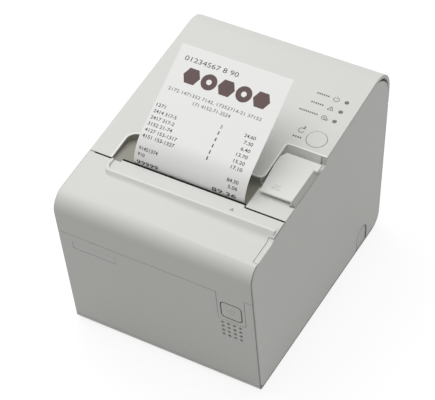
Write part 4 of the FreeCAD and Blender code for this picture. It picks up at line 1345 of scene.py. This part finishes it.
@dataclass
class Springs:
    """Wire springs in place of the plain rings that keep their room."""

    head_wire: float = 0.4
    head_turns: float = 5.0
    lever_wire: float = 0.45
    lever_turns: float = 7.0

    def replace_coil(self, name: str, node: str, places: Sequence[Matrix], outer: float, wire: float,
                     length: float, turns: float) -> None:
        """Wind coils of one size and let them stand for a node.

        Args:
            name: Name of the new piece.
            node: Node that it replaces.
            places: Matrix of each coil's foot.
            outer: Outer radius of the coil.
            wire: Radius of the wire.
            length: Length over all.
            turns: Number of turns.
        """
        piece = Workpiece(name)
        for place in places:
            with piece.on(place @ Matrix.Translation((0.0, 0.0, wire))):
                piece.coil(outer - wire, wire, (length - 2 * wire) / turns, turns)
        made = piece.put(Body.CASE, Slot.STEEL)
        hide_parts(node)

    def build(self) -> None:
        """Wind the head springs and the lever's spring."""
        low, high = (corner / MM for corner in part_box("head_springs"))
        middle, radius = (low.z + high.z) / 2, (high.z - low.z) / 2
        lie = Matrix.Rotation(-QUARTER, 4, "X")
        places = [Matrix.Translation((x, low.y, middle)) @ lie for x in (low.x + radius, high.x - radius)]
        self.replace_coil("head_coils", "head_springs", places, radius, self.head_wire, high.y - low.y,
                          self.head_turns)
        low, high = (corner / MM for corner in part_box("lever_spring"))
        middle, radius = (low.z + high.z) / 2, (high.z - low.z) / 2
        place = Matrix.Translation((low.x, (low.y + high.y) / 2, middle)) @ Matrix.Rotation(QUARTER, 4, "Y")
        self.replace_coil("lever_coil", "lever_spring", [place], radius, self.lever_wire, high.x - low.x,
                          self.lever_turns)


@dataclass
class Interior:
    """Fine pieces that show with the lid open: stiffening ribs, the board's parts, the head's dot line."""

    lid_under: float = -2.5
    rib_width: float = 1.2
    rib_height: float = 2.6
    rib_root: float = 0.1
    rib_x: tuple[float, ...] = (-52.0, -26.0, 0.0, 26.0)
    rib_y: tuple[float, ...] = (-22.0, 10.0, 42.0, 74.0)
    rib_span: Point = (-64.5, 42.0)
    board_at: Point = (57.2, 13.9)
    board_under: float = -9.6
    chip: Block = Block((-6.5, -1.5), (-14.0, -9.0), Layer(-0.05, 1.2, 0.1))
    plug: Block = Block((-7.5, -2.5), (-44.0, -34.0), Layer(-0.05, 3.4, 0.2))
    resistor: Block = Block((1.0, 2.6), (-8.0, -7.2), Layer(-0.05, 0.5, 0.05))
    resistor_pitch: float = 8.0
    resistor_count: int = 4
    joint: Layer = Layer(-0.05, 0.6, 0.3)
    joint_radius: float = 0.7
    joint_sides: int = 14
    lamp_joint_x: Point = (2.0, 4.6)
    lamp_joint_y: float = -19.0
    lamp_pitch: float = 9.2
    lamp_count: int = 3
    switch_half: Point = (3.2, 2.2)
    leg_x: Point = (-7.2, -6.9)
    leg_rows: tuple[Point, ...] = ((-15.0, -14.0), (-9.0, -8.0))
    leg: Layer = Layer(-0.05, 0.3)
    leg_pitch: float = 0.62
    leg_count: int = 8
    well_rear: float = 69.5
    well_rib_x: tuple[float, ...] = (-32.0, -16.0, 0.0, 16.0, 32.0)
    well_rib_z: Point = (84.0, 111.0)
    well_rib_half: float = 0.8
    well_rib: Layer = Layer(-0.1, 1.0, 0.3)
    dots_margin: float = 1.0
    dots_z: Point = (113.4, 114.6)
    dots: Layer = Layer(-0.05, 0.12, 0.08)

    def lid_ribs(self) -> None:
        """Grid of ribs under the lid's skin."""
        ribs = Workpiece("lid_ribs")
        half = self.rib_width / 2
        layer = Layer(self.lid_under - self.rib_height, self.lid_under + self.rib_root)
        rows = [TOP.along(level) for level in self.rib_y]
        with ribs.on(TOP.place()):
            for x in self.rib_x:
                ribs.block((x - half, x + half), (rows[0], rows[-1]), layer)
            for y in rows:
                ribs.block(self.rib_span, (y - half, y + half), layer)
        ribs.put(Body.LID, Slot.CASE)

    def board_face(self) -> Matrix:
        """Matrix of a drawing on the underside of the button board."""
        under = Matrix.Translation((0.0, 0.0, self.board_under)) @ Matrix.Rotation(math.pi, 4, "X")
        return TOP.at(*self.board_at) @ under

    def board_chips(self) -> None:
        """Chip, resistors and the plug on the button board."""
        chips = Workpiece("button_chips")
        with chips.on(self.board_face()):
            chips.block(*self.chip)
            for down in (self.resistor_pitch * row for row in range(self.resistor_count)):
                chips.block(self.resistor.x, [y - down for y in self.resistor.y], self.resistor.layer)
            chips.block(*self.plug)
        chips.put(Body.LID, Slot.DARK)

    def board_joints(self) -> None:
        """Solder joints of the lamps, the switch and the chip's legs."""
        joints = Workpiece("button_joints")
        places = [(x, self.lamp_joint_y - self.lamp_pitch * row)
                  for row in range(self.lamp_count) for x in self.lamp_joint_x]
        across, up = self.switch_half
        places += [(side * across, end * up) for end in (-1, 1) for side in (-1, 1)]
        with joints.on(self.board_face()):
            for place in places:
                joints.disc(place, self.joint_radius, self.joint, self.joint_sides)
            for along in (self.leg_pitch * leg for leg in range(self.leg_count)):
                for row in self.leg_rows:
                    joints.block([x + along for x in self.leg_x], row, self.leg)
        joints.put(Body.LID, Slot.TINNED)

    def well_ribs(self) -> None:
        """Upright ribs on the rear wall of the paper well."""
        ribs = Workpiece("well_ribs")
        half = self.well_rib_half
        with ribs.on(Matrix.Translation((0.0, self.well_rear, 0.0)) @ Matrix.Rotation(QUARTER, 4, "X")):
            for x in self.well_rib_x:
                ribs.block((x - half, x + half), self.well_rib_z, self.well_rib)
        ribs.put(Body.CASE, Slot.DARK)

    def head_line(self) -> None:
        """Glazed ridge of the heating dots across the print head."""
        low, high = (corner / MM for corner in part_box("thermal_head"))
        line = Workpiece("head_line")
        span = (low.x + self.dots_margin, high.x - self.dots_margin)
        with line.on(Matrix.Translation((0.0, high.y, 0.0)) @ Matrix.Rotation(-QUARTER, 4, "X")):
            line.block(span, sorted(-z for z in self.dots_z), self.dots)
        line.put(Body.CASE, Slot.CERAMIC)

    def build(self) -> None:
        """Make all of them."""
        self.lid_ribs()
        self.board_chips()
        self.board_joints()
        self.well_ribs()
        self.head_line()


@dataclass
class Studio:
    """Pale floor, soft light and the camera of the photograph's view."""

    ambient: float = 0.44
    key_power: float = 30.0
    key_size: float = 2.6
    key_distance: float = 2.2
    key_from: Triple = (-0.30, 0.07, 0.96)
    floor_half: float = 6.0
    floor_glow: float = 0.84
    floor_shade: float = 0.22
    floor_colour: float = 0.45
    camera_at: Triple = (0.3990, -0.7479, 0.8564)
    camera_azimuth: float = 28.504
    camera_elevation: float = 42.782
    camera_lens: float = 142.94
    camera_sensor: float = 36.0

    def seen(self, graph: Graph) -> Wire:
        """Tell the rays that show the background itself, in the picture or in a reflection.

        Args:
            graph: Tree that asks.

        Returns:
            One for those rays, else nought.
        """
        camera, glossy, through = (graph.node("ShaderNodeLightPath", output=f"Is {kind} Ray")
                                   for kind in ("Camera", "Glossy", "Transmission"))
        return (camera + glossy + through).clipped()

    def world(self) -> None:
        """Even light from all round that looks white."""
        world = bpy.data.worlds.new("studio_light")
        bpy.context.scene.world = world
        world.use_nodes = True
        graph = Graph(world.node_tree)
        strength = self.ambient + self.seen(graph) * (1.0 - self.ambient)
        back = graph.node("ShaderNodeBackground", sockets={"Color": WHITE, "Strength": strength})
        graph.close("ShaderNodeOutputWorld", back)

    def floor(self) -> None:
        """White floor that keeps a faint shadow."""
        mesh = bmesh.new()
        bmesh.ops.create_grid(mesh, x_segments=1, y_segments=1, size=self.floor_half)
        data = bpy.data.meshes.new("floor")
        mesh.to_mesh(data)
        mesh.free()
        graph = Shader("floor")
        glow = graph.node("ShaderNodeEmission", sockets={"Color": WHITE, "Strength": self.floor_glow})
        shade, plain = (graph.node("ShaderNodeBsdfDiffuse", sockets={"Color": (grey, grey, grey, 1.0)})
                        for grey in (self.floor_shade, self.floor_colour))
        white = graph.node("ShaderNodeAddShader", sockets={0: glow, 1: shade})
        graph.close("ShaderNodeOutputMaterial",
                    graph.node("ShaderNodeMixShader", sockets={0: self.seen(graph), 1: plain, 2: white}))
        data.materials.append(graph.material)
        floor = bpy.data.objects.new("floor", data)
        bpy.context.scene.collection.objects.link(floor)

    def key(self) -> None:
        """One large soft lamp above the left side."""
        lamp = bpy.data.lights.new("key", "AREA")
        lamp.shape, lamp.size, lamp.energy = "DISK", self.key_size, self.key_power
        holder = bpy.data.objects.new("key", lamp)
        toward = Vector(self.key_from).normalized()
        aim = toward.to_track_quat("Z", "Y").to_matrix().to_4x4()
        holder.matrix_world = Matrix.Translation(toward * self.key_distance) @ aim
        bpy.context.scene.collection.objects.link(holder)

    def camera(self) -> None:
        """Camera at the photograph's angle."""
        lens = bpy.data.cameras.new("camera")
        lens.sensor_fit, lens.sensor_width, lens.lens = "HORIZONTAL", self.camera_sensor, self.camera_lens
        holder = bpy.data.objects.new("camera", lens)
        around = Matrix.Rotation(math.radians(self.camera_azimuth), 4, "Z")
        over = Matrix.Rotation(math.radians(90.0 - self.camera_elevation), 4, "X")
        holder.matrix_world = Matrix.Translation(self.camera_at) @ around @ over
        bpy.context.scene.collection.objects.link(holder)
        bpy.context.scene.camera = holder

    def build(self) -> None:
        """Set up the whole studio."""
        bpy.context.scene.view_settings.view_transform = "Standard"
        self.world()
        self.floor()
        self.key()
        self.camera()


def main() -> None:
    """Dress the solids, add the fine pieces and set up the studio."""
    logging.basicConfig(level=logging.INFO, format="%(name)s: %(message)s")
    WARDROBE.dress_solids()
    for group in (ReceiptPrint(), ControlMarks(), LidTrim(), ExitTrim(), SideTrim(), SmallMarks(), Springs(),
                  Interior(), Studio()):
        log.info("building %s", type(group).__name__)
        group.build()


if __name__ == "__main__":
    main()
